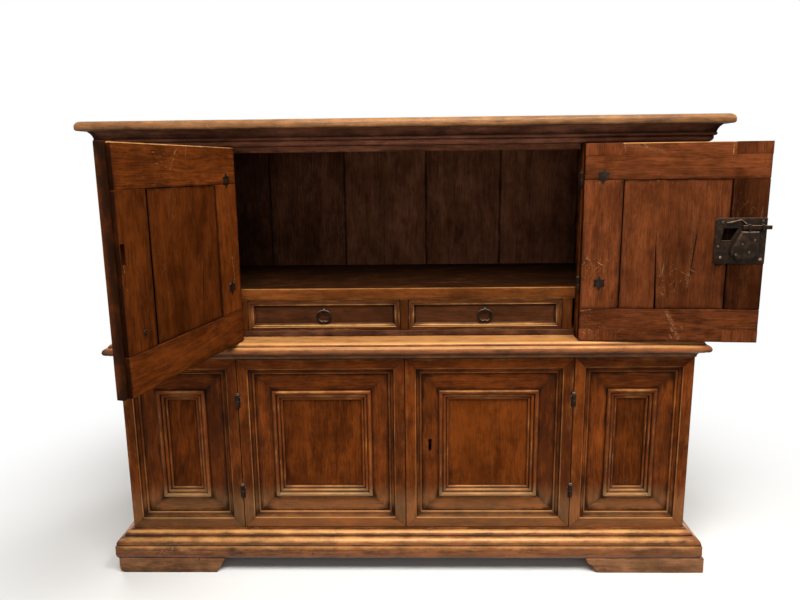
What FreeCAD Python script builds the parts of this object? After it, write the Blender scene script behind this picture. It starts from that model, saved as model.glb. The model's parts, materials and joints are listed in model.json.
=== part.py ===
import FreeCAD, Part
import os
from math import atan2, cos, degrees, hypot, pi, sin, sqrt

Vec = FreeCAD.Vector

# A walnut credenza in two stages, with its upper doors standing open, in millimetres.
# X runs along the front, Y from front to back, Z up; the origin is on the floor under the case's middle.

# Case boards
case_width = 1700.0
case_depth = 555.0
side_thickness = 28.0
back_thickness = 20.0
back_board_gap = 0.8
back_board_joints = (-493.0, -219.0, 77.0, 347.0, 626.0)
lower_floor_thickness = 20.0
mid_board_thickness = 18.0
shelf_thickness = 35.0
rail_thickness = 26.0
rail_drop = 15.0

# Heights of the courses, from the floor up
foot_height = 48.0
plinth_height = 43.0
base_moulding_height = 36.0
lower_height = 545.0
mid_moulding_height = 52.0
upper_height = 563.0
cornice_height = 47.0
top_thickness = 26.0

# How far each moulding stands out of the case, and how far its wood reaches in
plinth_overhang = 44.0
plinth_inner = 70.0
plinth_side_inner = 60.0
mid_overhang = 33.0
mid_inner = 84.0
cornice_overhang = 27.0
top_overhang = 51.0
upper_setback = 23.0

# Members of the mouldings
fillet = 2.5
base_ovolo = 20.0
base_torus_foot = 6.0
mid_cove = 16.0
mid_nose = 22.0
mid_round = 11.0
cornice_ovolo = 11.0
cornice_bead = 6.0
top_nose_radius = 15.0
top_under_radius = 6.0

# Feet
front_foot_length = 330.0
lobed_foot_length = 354.0
foot_depth = 58.0
foot_return = 190.0
left_foot_inset = 7.0
right_foot_proud = 9.0
foot_chamfer = 28.0
foot_lobe = 19.0
foot_round = 16.0
back_foot_length = 110.0

# Doors and fixed panels
panel_thickness = 31.0
facing_thickness = 18.0
board_panel_thickness = 10.0
band_width = 38.0
step_width = 11.0
field_width = 54.0
field_depth = 12.0
moulding_width = 32.0
moulding_lip = 3.0
ridge_depth = 3.0
ridge_drop = 4.5
stile_width = 106.0
top_rail_height = 100.0
bottom_rail_height = 95.0
left_board_joints = (190.0,)
right_board_joints = (208.0, 310.0)
door_board_gap = 0.8
door_gap = 2.0
upper_meeting = 10.0
meeting_rebate = 14.0
lower_fixed_width = 349.0
upper_fixed_width = 344.0
left_door_open = 104.0
right_door_open = 176.0

# Eye hinges
hinge_proud = 1.5
eye_radius = 6.5
eye_height = 20.0
eye_gap = 0.3
pin_radius = 3.5
running_gap = 0.05
pin_cap_height = 2.5
pin_cap_radius = 5.2
notch_gap = 0.5
shank = 6.0
shank_reach = 52.0
clench_thickness = 2.5
clench_long = 22.0
clench_short = 17.0
clench_waist = 12.0
lower_hinge_heights = (124.0, 415.0)
upper_hinge_heights = (162.0, 462.0)

# Drawers and their partitions
fittings_gap = 4.0
drawer_height = 94.0
divider_width = 25.0
end_partition_width = 30.0
drawer_setback = 3.0
drawer_gap = 1.0
drawer_lift = 0.3
drawer_swing_gap = 2.0
drawer_back_gap = 34.0
drawer_front_thickness = 22.0
drawer_recess = 9.0
drawer_frame_width = 22.0
drawer_side_thickness = 12.0
drawer_side_drop = 10.0
drawer_bottom_thickness = 8.0
drawer_bottom_rise = 6.0

# Ring pulls
ring_radius = 18.0
ring_wire = 2.8
collar_radius = 3.4
collar_length = 8.0
staple_width = 5.0
staple_radius = 6.0
staple_shank = 3.0
staple_clench = 2.5
ring_stand_off = 7.0
rosette_radius = 9.0
rosette_thickness = 1.5
ring_drop = 4.0

# Upper lock, on the inside of the right door
lock_height = 291.0
lock_width = 136.0
lock_above = 64.0
lock_below = 63.0
lock_plate_thickness = 2.5
lock_corner = 6.0
lock_bolt_height = 11.0
lock_bolt_depth = 8.0
lock_bolt_rise = 33.0
lock_bolt_out = 10.0
lock_bolt_tail = 66.0
guide_width = 6.0
guide_wall = 3.0
guide_gap = 0.3
guide_places = (10.0, 46.0)
cover_inset = 22.0
cover_head = 46.0
cover_width = 72.0
cover_shoulder = 24.0
cover_foot = 53.0
cover_corner = 14.0
cover_thickness = 10.0
cover_bevel = 3.0
pocket_inset = 72.0
pocket_width = 30.0
pocket_slant = 20.0
pocket_rise = 25.0
pocket_fall = 14.0
pocket_depth = 11.0
spring_anchor = 108.0
spring_knee = 70.0
spring_tip = 54.0
spring_anchor_drop = 14.0
spring_knee_drop = 6.0
spring_thickness = 2.0
spring_depth = 7.0

# Lower lock, on the inside of the right door, and the keyholes
keyhole_from_edge = 74.0
keyhole_slot = 9.0
keyhole_drop = 32.0
lower_lock_height = 276.0
lower_lock_width = 120.0
lower_lock_tall = 96.0
lower_lock_depth = 16.0
lower_lock_wall = 2.0
lower_lock_inset = 6.0
lower_bolt_length = 78.0
lower_bolt_rise = 22.0
lower_bolt_stand_off = 5.0

# Old strike mortise in the left upper door
strike_inset = 2.0
strike_width = 14.0
strike_tall = 46.0
strike_depth = 9.0

# Levels
z_plinth = foot_height
z_base = z_plinth + plinth_height
z_lower = z_base + base_moulding_height
z_mid = z_lower + lower_height
z_upper = z_mid + mid_moulding_height
z_cornice = z_upper + upper_height
z_top = z_cornice + cornice_height
z_summit = z_top + top_thickness
z_drawer = z_upper + mid_board_thickness
z_shelf = z_drawer + drawer_height

# Planes
half = case_width / 2
inner_half = half - side_thickness
lower_hinge_x = half - lower_fixed_width
upper_hinge_x = half - upper_fixed_width
y_lower = -case_depth / 2
y_back = case_depth / 2
y_upper = y_lower + upper_setback
y_lower_inside = y_lower + panel_thickness
y_upper_inside = y_upper + panel_thickness
y_fittings = y_upper_inside + fittings_gap
y_back_face = y_back - back_thickness
y_drawer = y_fittings + drawer_setback
facing_width = band_width + step_width + field_width
door_edge = door_gap / 2
left_free_x = door_edge - upper_meeting
right_free_x = door_edge + upper_meeting
drawer_inner_x = divider_width / 2 + drawer_gap
drawer_outer_x = upper_hinge_x - panel_thickness - hinge_proud - drawer_swing_gap

# Sagitta of a quarter round, and of the flatter rounds on small members, as a share of the chord
quarter = (sqrt(2) - 1) / 2
shallow = 0.07

# Sides of the hammered iron sections
forged_sides = 8
ring_facets = 20

origin = Vec(0, 0, 0)
x_axis = Vec(1, 0, 0)
y_axis = Vec(0, 1, 0)
z_axis = Vec(0, 0, 1)


def box(low, high):
    size = [b - a for a, b in zip(low, high)]
    return Part.makeBox(*size, Vec(*low))


def cylinder(radius, foot, along):
    return Part.makeCylinder(radius, along.Length, foot, along)


def forged_bar(radius, at, along):
    """Hammered iron with flats round it; at places its section and along is its length."""
    turns = [2 * pi * (side + 0.5) / forged_sides for side in range(forged_sides)]
    return outline([(radius * cos(turn), radius * sin(turn)) for turn in turns], at).extrude(along)


def outline(steps, at):
    """Closed face through steps: (a, b) ends a straight stretch, (a, b, bow) an arc that bows to its left."""
    edges = []
    a, b = steps[0][:2]
    for step in steps[1:] + steps[:1]:
        start, end = at(a, b), at(*step[:2])
        if len(step) == 3:
            bow = step[2]
            middle = at((a + step[0]) / 2 - bow * (step[1] - b), (b + step[1]) / 2 + bow * (step[0] - a))
            edges.append(Part.Arc(start, middle, end).toShape())
        else:
            edges.append(Part.makeLine(start, end))
        a, b = step[:2]
    return Part.Face(Part.Wire(edges))


def sheet(points, y0, depth):
    """Solid of an outline on the front, depth deep from y0."""
    return outline(points, lambda x, z: Vec(x, y0, z)).extrude(Vec(0, depth, 0))


def mirrored(shape):
    return shape.mirror(origin, x_axis)


def both_hands(shapes):
    return shapes + [mirrored(shape) for shape in shapes]


def handed(side, shapes):
    """Right-hand shapes as they are, or mirrored for the left side."""
    return [mirrored(shape) for shape in shapes] if side == "left" else shapes


def cut_all(shapes, cutters):
    return [shape.cut(cutters).Solids[0] for shape in shapes]


def carved(leaf, cutters):
    """The same door with more cut out of its wood."""
    wood = {part: cut_all(leaf[part], cutters) for part in ("frame", "facing", "panel")}
    return {**leaf, **wood}


def plan_prism(points):
    return outline(points, lambda x, y: Vec(x, y, 0)).extrude(Vec(0, 0, z_summit))


def wrap_moulding(profile, reach, front_inner, side_inner, y_front):
    """Front length and two returns of a moulding round the case, mitred at the front corners."""
    front = outline(profile(front_inner), lambda o, z: Vec(-half - reach, y_front - o, z))
    front = front.extrude(Vec(2 * (half + reach), 0, 0))
    corner = (half + reach, y_front - reach)
    knee = (half - side_inner, y_front + side_inner)
    rail = (half - side_inner, y_front + front_inner)
    left_points = [(-x, y) for x, y in (rail, knee, corner)]
    front = front.common(plan_prism([corner, knee, rail] + left_points))
    right = outline(profile(side_inner), lambda o, z: Vec(half + o, y_front - reach, z))
    right = right.extrude(Vec(0, y_back - y_front + reach, 0))
    right = right.common(plan_prism([corner, (corner[0], y_back), (knee[0], y_back), knee]))
    return [front] + both_hands([right])


def mitred(steps, width, x0, x1, z0, z1, y_front):
    """Four lengths of one section round a rectangle on the front, mitred at the corners."""
    lengths = []
    corners = ((x0, z0, z1 - z0), (x0, z1, x1 - x0), (x1, z1, z1 - z0), (x1, z0, x1 - x0))
    for turn, (x, z, run) in enumerate(corners):
        bar = outline(steps, lambda u, v: Vec(u, v, 0)).extrude(Vec(0, 0, run))
        ends = [(0, 0), (width, width), (width, run - width), (0, run)]
        cutter = sheet(ends, -panel_thickness, 3 * panel_thickness)
        piece = bar.common(cutter).rotated(origin, y_axis, 90 * turn)
        lengths.append(piece.translated(Vec(x, y_front, z)))
    return lengths


def plinth_profile(inner):
    """Section of the plinth with its ovolo, groove and small torus, as (outward, height)."""
    ovolo_top = z_base + base_ovolo
    groove = plinth_overhang - base_ovolo - fillet
    return [(-inner, z_plinth), (plinth_overhang - fillet, z_plinth), (plinth_overhang, z_plinth + fillet),
            (plinth_overhang, z_base - fillet), (plinth_overhang - fillet, z_base - fillet),
            (plinth_overhang - fillet, z_base), (plinth_overhang - base_ovolo, ovolo_top, -quarter),
            (groove, ovolo_top), (groove, ovolo_top + fillet),
            (base_torus_foot, z_lower - fillet, -quarter), (base_torus_foot, z_lower), (-inner, z_lower)]


def mid_profile(inner):
    """Section of the moulding between the stages: cove, bull nose and quarter round."""
    nose_foot = z_upper - mid_round - mid_nose
    nose_back = mid_overhang - mid_nose / 2
    step = nose_back - fillet
    return [(-inner, z_mid), (fillet, z_mid), (fillet, z_mid + fillet),
            (fillet + mid_cove, nose_foot - fillet, quarter), (fillet + mid_cove, nose_foot),
            (nose_back, nose_foot), (nose_back, nose_foot + mid_nose, -0.5),
            (step, nose_foot + mid_nose), (step - mid_round, z_upper, -quarter), (-inner, z_upper)]


def cornice_profile(inner):
    """Section of the cornice: ovolo, bead and cove."""
    bead_foot = z_cornice + cornice_ovolo + fillet
    bead_out = cornice_ovolo + fillet
    cove_foot = bead_foot + cornice_bead
    return [(-inner, z_cornice), (fillet, z_cornice), (bead_out, z_cornice + cornice_ovolo, -quarter),
            (bead_out, bead_foot), (bead_out, cove_foot, -0.5), (bead_out - fillet, cove_foot),
            (cornice_overhang, z_top - fillet, quarter), (cornice_overhang, z_top), (-inner, z_top)]


def top_profile(inner):
    """Section of the top board with its thumbnail edge."""
    return [(-inner, z_top), (top_overhang - top_under_radius, z_top),
            (top_overhang, z_top + top_under_radius, -quarter),
            (top_overhang, z_summit - top_nose_radius),
            (top_overhang - top_nose_radius, z_summit, -quarter), (-inner, z_summit)]


def top_board():
    front = outline(top_profile(y_back - y_upper), lambda o, z: Vec(-half - top_overhang, y_upper - o, z))
    front = front.extrude(Vec(2 * (half + top_overhang), 0, 0))
    right = outline(top_profile(half), lambda o, z: Vec(half + o, y_upper - top_overhang, z))
    right = right.extrude(Vec(0, y_back - y_upper + top_overhang, 0)).common(front)
    return [right.fuse(mirrored(right)).removeSplitter()]


def front_foot(outer_x, ends):
    """A right front foot: a bracket along the front, shaped by ends, with a plain return along the side."""
    y_face = y_lower - plinth_overhang + fillet
    front = outline(ends, lambda x, z: Vec(outer_x - x, y_face, z)).extrude(Vec(0, foot_depth, 0))
    side = box((outer_x - foot_depth, y_face, 0), (outer_x - foot_round, y_face + foot_return, foot_height))
    return [front.fuse(side).removeSplitter()]


def chamfered_foot():
    """The left front foot: worn round at its outer corner, its inner end cut on the slant."""
    ends = [(0, foot_height), (0, foot_round), (foot_round, 0, -quarter),
            (front_foot_length - foot_chamfer, 0), (front_foot_length, foot_height)]
    return handed("left", front_foot(half + plinth_overhang - left_foot_inset, ends))


def lobed_foot():
    """The right front foot: its inner end cut in two lobes."""
    step = foot_height / 2
    lower_end, upper_end = lobed_foot_length - foot_lobe - fillet, lobed_foot_length
    ends = [(0, foot_height), (0, 0), (lower_end - foot_lobe, 0),
            (lower_end, step - fillet, -quarter), (upper_end - foot_lobe, step - fillet),
            (upper_end - foot_lobe, step), (upper_end, foot_height, -quarter)]
    return front_foot(half + plinth_overhang + right_foot_proud, ends)


def back_feet():
    outer_x = half + plinth_overhang - left_foot_inset
    foot = box((outer_x - back_foot_length, y_back - foot_depth, 0), (outer_x, y_back, foot_height))
    return both_hands([foot])


def back_boards(z0, z1):
    edges = [-inner_half] + list(back_board_joints) + [inner_half]
    gaps = [0] + [back_board_gap / 2] * len(back_board_joints) + [0]
    return [box((edges[i] + gaps[i], y_back_face, z0), (edges[i + 1] - gaps[i + 1], y_back, z1))
            for i in range(len(edges) - 1)]


def side_board(y0, z0, z1):
    return [box((inner_half, y0, z0), (half, y_back, z1))]


def partitions():
    """Upright boards between and beside the drawers."""
    divider = box((-divider_width / 2, y_fittings, z_drawer), (divider_width / 2, y_back_face, z_shelf))
    inner = drawer_outer_x + drawer_gap
    end = box((inner, y_fittings, z_drawer), (inner + end_partition_width, y_back_face, z_shelf))
    return [divider] + both_hands([end])


def facing_steps(thickness):
    """Section of a panel's border, as (inward, depth): flat band, two small steps and a sunk field."""
    round_width = step_width / 2
    fall = field_depth - fillet
    return [(0, 0), (band_width, 0), (band_width, fillet / 2),
            (band_width + round_width, fillet / 2 + round_width, -shallow),
            (band_width + round_width, fall), (band_width + step_width, field_depth, shallow),
            (facing_width, field_depth), (facing_width, thickness), (0, thickness)]


def ridge_steps():
    """Section of the raised moulding: three beads that step down to the sunk board panel."""
    start = facing_width - moulding_lip
    bead = moulding_width / 3
    steps = [(start, field_depth)]
    for count in range(3):
        depth = ridge_depth + count * ridge_drop
        steps += [(start + count * bead, depth), (start + (count + 1) * bead, depth, -shallow)]
    inner = start + moulding_width
    return steps + [(inner, facing_thickness), (facing_width, facing_thickness), (facing_width, field_depth)]


def board_panel(x0, x1, z0, z1, y_front, joints):
    """Upright boards of a panel, with open joints at the given distances from the hinge edge x1."""
    edges = [x0] + [x - gap for x in joints for gap in (door_board_gap / 2, -door_board_gap / 2)] + [x1]
    y0 = y_front + facing_thickness
    return [box((edges[i], y0, z0), (edges[i + 1], y0 + board_panel_thickness, z1))
            for i in range(0, len(edges), 2)]


def fixed_panel(hinge_x, z0, z1, y_front):
    """A right-hand fixed panel: mitred frame, raised moulding and board."""
    x0, x1 = hinge_x + door_edge, half
    frame = mitred(facing_steps(panel_thickness), facing_width, x0, x1, z0, z1, y_front)
    ridge_width = facing_width - moulding_lip + moulding_width
    moulding = mitred(ridge_steps(), ridge_width, x0, x1, z0, z1, y_front)
    border = facing_width
    board = board_panel(x0 + border, x1 - border, z0 + border, z1 - border, y_front, ())
    return {"frame": frame, "moulding": moulding, "board": board}


def door(hinge_x, free_x, z0, z1, y_front, joints=(), rebate=0):
    """A closed right-hand door: rails through, stiles between, boards, mitred facing and raised moulding."""
    x0, x1 = free_x, hinge_x - door_edge
    panel_x0, panel_x1 = door_edge + stile_width, x1 - stile_width
    low, high = z0 + door_gap, z1 - door_gap
    facing = mitred(facing_steps(facing_thickness), facing_width, x0, x1, low, high, y_front)
    ridge_width = facing_width - moulding_lip + moulding_width
    moulding = mitred(ridge_steps(), ridge_width, x0, x1, low, high, y_front)
    y0, y1 = y_front + facing_thickness, y_front + panel_thickness
    rail_low, rail_high = low + bottom_rail_height, high - top_rail_height
    edge = x0 + rebate
    frame = [box((edge, y0, low), (x1, y1, rail_low)), box((edge, y0, rail_high), (x1, y1, high)),
             box((edge, y0, rail_low), (panel_x0, y1, rail_high)),
             box((panel_x1, y0, rail_low), (x1, y1, rail_high))]
    splits = [x1 - joint for joint in reversed(joints)]
    panel = board_panel(panel_x0, panel_x1, rail_low, rail_high, y_front, splits)
    return {"frame": frame, "facing": facing, "moulding": moulding, "panel": panel}


def shank_bar(axis, z, y_inside, hand):
    """Square shank from the hinge axis out through the inside face; hand is -1 on the door, 1 on the case."""
    depth = y_inside - axis.y
    length = hypot(shank_reach, depth) + shank
    bar = box((pin_radius + eye_gap, -shank / 2, -shank / 2), (length, shank / 2, shank / 2))
    turn = degrees(atan2(depth, hand * shank_reach))
    return bar.rotated(origin, z_axis, turn).translated(Vec(axis.x, axis.y, z))


def clench(x, y_inside, z):
    """The shank's end, split and hammered flat into a four-pointed star."""
    points = []
    for across, up in ((0, 1), (1, 0), (0, -1), (-1, 0)):
        points.append((x + across * clench_short, z + up * clench_long))
        points.append((x + (across + up) * clench_waist / 2, z + (up - across) * clench_waist / 2))
    return sheet(points, y_inside, clench_thickness)


def hinge(axis, z_middle, y_inside):
    """Door eye, fixed pintle and the cuts that they need, for a right-hand door."""
    foot = Vec(axis.x, axis.y, z_middle)
    keep = box((axis.x - case_depth, axis.y - case_depth, 0),
               (axis.x + case_depth, y_inside + clench_thickness, z_summit))
    eye_bar = shank_bar(axis, z_middle + eye_height / 2, y_inside, -1)
    pintle_bar = shank_bar(axis, z_middle - eye_height / 2, y_inside, 1)
    eye = forged_bar(eye_radius, lambda a, b: foot + Vec(a, b, eye_gap), z_axis * (eye_height - eye_gap))
    eye = eye.fuse([eye_bar.common(keep), clench(axis.x - shank_reach, y_inside, z_middle + eye_height / 2)])
    bore = cylinder(pin_radius + running_gap, foot, z_axis * eye_height)
    eye = eye.cut(bore)
    barrel = forged_bar(eye_radius, lambda a, b: foot + Vec(a, b, -eye_height), z_axis * eye_height)
    pin = cylinder(pin_radius, foot - z_axis * eye_height, z_axis * (2 * eye_height + eye_gap))
    rim = eye_height + eye_gap
    cap = forged_bar(pin_cap_radius, lambda a, b: foot + Vec(a, b, rim), z_axis * pin_cap_height)
    pintle = barrel.fuse([pin, cap, pintle_bar.common(keep)])
    reach = eye_radius + notch_gap
    tall = eye_height + pin_cap_height + 2 * eye_gap
    notch = box((axis.x - reach, axis.y - reach, z_middle - tall),
                (axis.x + reach, axis.y + reach, z_middle + tall))
    return {"eye": eye.removeSplitter().Solids[0], "pintle": pintle.removeSplitter().Solids[0],
            "door_cuts": [notch, eye_bar], "case_cuts": [notch, pintle_bar]}


def hinges(hinge_x, z0, y_front, heights):
    axis = Vec(hinge_x, y_front - hinge_proud, 0)
    return [hinge(axis, z0 + height, y_front + panel_thickness) for height in heights]


def hung_door(leaf, irons):
    """A closed door with its hinge eyes, its wood cut to clear them."""
    cuts = [cut for iron in irons for cut in iron["door_cuts"]]
    wood = {part: cut_all(leaf[part], cuts) for part in ("frame", "facing")}
    return {**leaf, **wood, "hinge_eyes": [iron["eye"] for iron in irons]}


def hung_post(post, irons):
    """A fixed panel with the pintles that its door hangs on."""
    cuts = [cut for iron in irons for cut in iron["case_cuts"]]
    return {**post, "frame": cut_all(post["frame"], cuts), "pintles": [iron["pintle"] for iron in irons]}


def keyhole(free_x, z, y_front):
    """Cutter for a round-topped keyhole through a closed right door, its crown at height z."""
    x = free_x + keyhole_from_edge
    side = keyhole_slot / 2
    steps = [(x - side, z - keyhole_drop), (x + side, z - keyhole_drop), (x + side, z),
             (x - side, z, -0.5)]
    return sheet(steps, y_front, panel_thickness)


def pocket_points():
    """Slanted opening beside the lock's cover, on the closed right upper door."""
    left, z = right_free_x + pocket_inset, z_upper + lock_height
    return [(left, z + pocket_rise), (left + pocket_width, z + pocket_rise),
            (left + pocket_width + pocket_slant / 2, z - pocket_fall), (left + pocket_slant, z - pocket_fall)]


def bolt_guides(x0, y0, low, high):
    """Iron loops that hold a bolt, which fills low to high, against the plate at y0."""
    guides = []
    depth = lock_bolt_depth + 2 * guide_gap
    for place in guide_places:
        x = x0 + place
        loop = box((x, y0, low - guide_gap - guide_wall),
                   (x + guide_width, y0 + depth + guide_wall, high + guide_gap + guide_wall))
        way = box((x, y0, low - guide_gap), (x + guide_width, y0 + depth, high + guide_gap))
        guides.append(loop.cut(way))
    return guides


def upper_lock():
    """Lock on the closed right upper door: pierced plate with bolt guides, cover, bolt and spring."""
    z, y0 = z_upper + lock_height, y_upper_inside
    y1 = y0 + lock_plate_thickness
    x0, x1, low, high = right_free_x, right_free_x + lock_width, z - lock_below, z + lock_above
    c = lock_corner
    corners = [(x0, low), (x1 - c, low), (x1, low + c), (x1, high - c), (x1 - c, high), (x0, high)]
    plate = sheet(corners, y0, lock_plate_thickness)
    plate = plate.cut(sheet(pocket_points(), y0, lock_plate_thickness))
    bolt_low, bolt_high = z + lock_bolt_rise, z + lock_bolt_rise + lock_bolt_height
    plate = plate.fuse(bolt_guides(x0, y1, bolt_low, bolt_high)).removeSplitter()
    y_bolt = y1 + guide_gap
    bolt = box((x0 - lock_bolt_out, y_bolt, bolt_low),
               (x0 + lock_bolt_tail, y_bolt + lock_bolt_depth, bolt_high))
    left, right, foot = x0 + cover_inset, x0 + cover_inset + cover_width, z - cover_foot
    cover_top = bolt_low - guide_gap - guide_wall - fillet
    edge = [(left, cover_top), (left + cover_head, cover_top), (right, z - cover_shoulder),
            (right, foot + cover_corner), (right - cover_corner, foot), (left + cover_corner, foot),
            (left, foot + cover_corner)]
    cover = sheet(edge, y1, cover_thickness)
    rim = [e for e in cover.Edges if e.CenterOfMass.y > y1 + cover_thickness - guide_gap]
    anchor = (x0 + spring_anchor, high - spring_anchor_drop)
    knee = (x0 + spring_knee, high - spring_knee_drop)
    tip = (x0 + spring_tip, bolt_high + guide_gap)
    thick = spring_thickness
    strip = [anchor, knee, tip, (tip[0] - thick, tip[1] + thick), (knee[0], knee[1] + thick),
             (anchor[0], anchor[1] + thick)]
    return {"plate": [plate], "cover": [cover.makeChamfer(cover_bevel, rim)], "bolt": [bolt],
            "spring": [sheet(strip, y1, spring_depth)]}


def lower_lock():
    """Boxed lock on the closed right lower door, its bolt drawn back."""
    z, y0 = z_lower + lower_lock_height, y_lower_inside
    x0 = door_edge + lower_lock_inset
    low, high = z - lower_lock_tall / 2, z + lower_lock_tall / 2
    wall = lower_lock_wall
    case = box((x0, y0, low), (x0 + lower_lock_width, y0 + lower_lock_depth, high))
    case = case.cut(box((x0 + wall, y0, low + wall),
                        (x0 + lower_lock_width - wall, y0 + lower_lock_depth - wall, high - wall)))
    bolt_low, y_bolt = z + lower_bolt_rise, y0 + lower_bolt_stand_off
    bolt_high, y_bolt_top = bolt_low + lock_bolt_height, y_bolt + lock_bolt_depth
    slot = box((x0, y_bolt - guide_gap, bolt_low - guide_gap),
               (x0 + wall, y_bolt_top + guide_gap, bolt_high + guide_gap))
    bolt = box((x0, y_bolt, bolt_low), (x0 + lower_bolt_length, y_bolt_top, bolt_high))
    return {"case": [case.cut(slot)], "bolt": [bolt]}


def forged_ring(centre):
    """Ring that hangs across the front, hammered with flats round its section and along its length."""
    def corner(step, side):
        turn, roll = 2 * pi * step / ring_facets, 2 * pi * (side + 0.5) / forged_sides
        reach = ring_radius + ring_wire * cos(roll)
        return centre + Vec(reach * cos(turn), ring_wire * sin(roll), reach * sin(turn))

    flats = []
    for step in range(ring_facets):
        for side in range(forged_sides):
            path = ((0, 0), (1, 0), (1, 1), (0, 1), (0, 0))
            points = [corner(step + along, side + over) for along, over in path]
            flats.append(Part.Face(Part.makePolygon(points)))
    return Part.Solid(Part.Shell(flats))


def ring_pull(x, z):
    """Ring with a round collar, hung in a staple whose shank goes through the drawer's front."""
    y_panel = y_drawer + drawer_recess
    y_ring = y_panel - ring_stand_off
    top = Vec(x, y_ring, z + ring_radius)
    collar = cylinder(collar_radius, top - x_axis * collar_length / 2, x_axis * collar_length)
    ring = forged_ring(Vec(x, y_ring, z)).fuse(collar)
    eye = forged_bar(staple_radius, lambda a, b: top + Vec(-staple_width / 2, a, b), x_axis * staple_width)
    pin = box((x - staple_shank, y_ring, top.z - staple_shank),
              (x + staple_shank, y_drawer + drawer_front_thickness + staple_clench, top.z + staple_shank))
    head = forged_bar(rosette_radius, lambda a, b: Vec(x + a, y_panel - rosette_thickness, top.z + b),
                      y_axis * rosette_thickness)
    bore = cylinder(collar_radius + running_gap, top - x_axis * collar_length, x_axis * 2 * collar_length)
    staple = eye.fuse([pin, head]).cut(bore).removeSplitter()
    hole = box((x - staple_shank, y_drawer, top.z - staple_shank),
               (x + staple_shank, y_drawer + drawer_front_thickness, top.z + staple_shank))
    return {"ring": [ring.Solids[0]], "staple": [staple.Solids[0]], "hole": hole}


def drawer():
    """The right drawer, closed: moulded front, box and ring pull."""
    x0, x1 = drawer_inner_x, drawer_outer_x
    z0, z1 = z_drawer + drawer_lift, z_shelf - drawer_gap
    width, fall = drawer_frame_width, drawer_recess
    flat = width / 2
    section = [(0, 0), (flat, 0), (flat, fillet / 2), (flat + width / 4, fillet / 2, -shallow),
               (width, fall, shallow), (0, fall)]
    frame = mitred(section, width, x0, x1, z0, z1, y_drawer)
    board = box((x0, y_drawer + fall, z0), (x1, y_drawer + drawer_front_thickness, z1))
    y0, y1 = y_drawer + drawer_front_thickness, y_back_face - drawer_back_gap
    wall, side_top = drawer_side_thickness, z1 - drawer_side_drop
    floor = z0 + drawer_bottom_rise
    sides = [box((x, y0, z0), (x + wall, y1, side_top)) for x in (x0, x1 - wall)]
    back = box((x0 + wall, y1 - wall, z0), (x1 - wall, y1, side_top))
    bottom = box((x0 + wall, y0, floor), (x1 - wall, y1 - wall, floor + drawer_bottom_thickness))
    pull = ring_pull((x0 + x1) / 2, (z0 + z1) / 2 - ring_drop)
    return {"front": [board.cut(pull["hole"])] + frame, "box": sides + [back, bottom],
            "pull": pull["staple"], "ring": pull["ring"]}


def swung(shapes, hinge_x, y_front, angle):
    """A closed right-hand door's solids, opened by angle degrees."""
    axis = Vec(hinge_x, y_front - hinge_proud, 0)
    return [shape.rotated(axis, z_axis, angle) for shape in shapes]


def build_case(nodes):
    nodes["plinth"] = wrap_moulding(plinth_profile, plinth_overhang, plinth_inner, plinth_side_inner, y_lower)
    nodes["front_left_foot"] = chamfered_foot()
    nodes["front_right_foot"] = lobed_foot()
    nodes["back_feet"] = back_feet()
    nodes["lower_right_side"] = side_board(y_lower_inside, z_lower, z_mid)
    nodes["upper_right_side"] = side_board(y_upper_inside, z_upper, z_cornice)
    for stage in ("lower", "upper"):
        nodes[stage + "_left_side"] = handed("left", nodes[stage + "_right_side"])
    nodes["lower_floor"] = [box((-inner_half, y_lower_inside + door_gap, z_lower),
                                (inner_half, y_back_face, z_lower + lower_floor_thickness))]
    nodes["lower_back"] = back_boards(z_lower, z_upper)
    nodes["mid_moulding"] = wrap_moulding(mid_profile, mid_overhang, mid_inner, side_thickness, y_lower)
    nodes["mid_board"] = [box((-inner_half, y_fittings, z_upper), (inner_half, y_back_face, z_drawer))]
    nodes["drawer_partitions"] = partitions()
    nodes["shelf"] = [box((-inner_half, y_fittings, z_shelf),
                          (inner_half, y_back_face, z_shelf + shelf_thickness))]
    nodes["upper_back"] = back_boards(z_upper, z_top)
    nodes["top_rail"] = [box((-inner_half, y_fittings, z_cornice - rail_drop),
                             (inner_half, y_fittings + rail_thickness, z_top))]
    nodes["cornice"] = wrap_moulding(cornice_profile, cornice_overhang, panel_thickness, side_thickness,
                                     y_upper)
    nodes["top"] = top_board()


def build_stage(nodes, stage, leaves, post, hinge_x, y_front, open_angles):
    """Left and right doors and fixed panels of one stage, each door opened by its own angle."""
    for side, leaf, angle in zip(("left", "right"), leaves, open_angles):
        for part, shapes in leaf.items():
            nodes[stage + "_" + side + "_door_" + part] = handed(side, swung(shapes, hinge_x, y_front, angle))
        nodes[stage + "_" + side + "_panel_frame"] = handed(side, post["frame"])
    nodes[stage + "_panel_mouldings"] = both_hands(post["moulding"])


def build_lower(nodes):
    irons = hinges(lower_hinge_x, z_lower, y_lower, lower_hinge_heights)
    leaf = hung_door(door(lower_hinge_x, door_edge, z_lower, z_mid, y_lower), irons)
    post = hung_post(fixed_panel(lower_hinge_x, z_lower, z_mid, y_lower), irons)
    leaves = (leaf, carved(leaf, [keyhole(door_edge, z_lower + lower_lock_height, y_lower)]))
    build_stage(nodes, "lower", leaves, post, lower_hinge_x, y_lower, (0, 0))
    for part, shapes in lower_lock().items():
        nodes["lower_lock_" + part] = shapes
    return post


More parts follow.
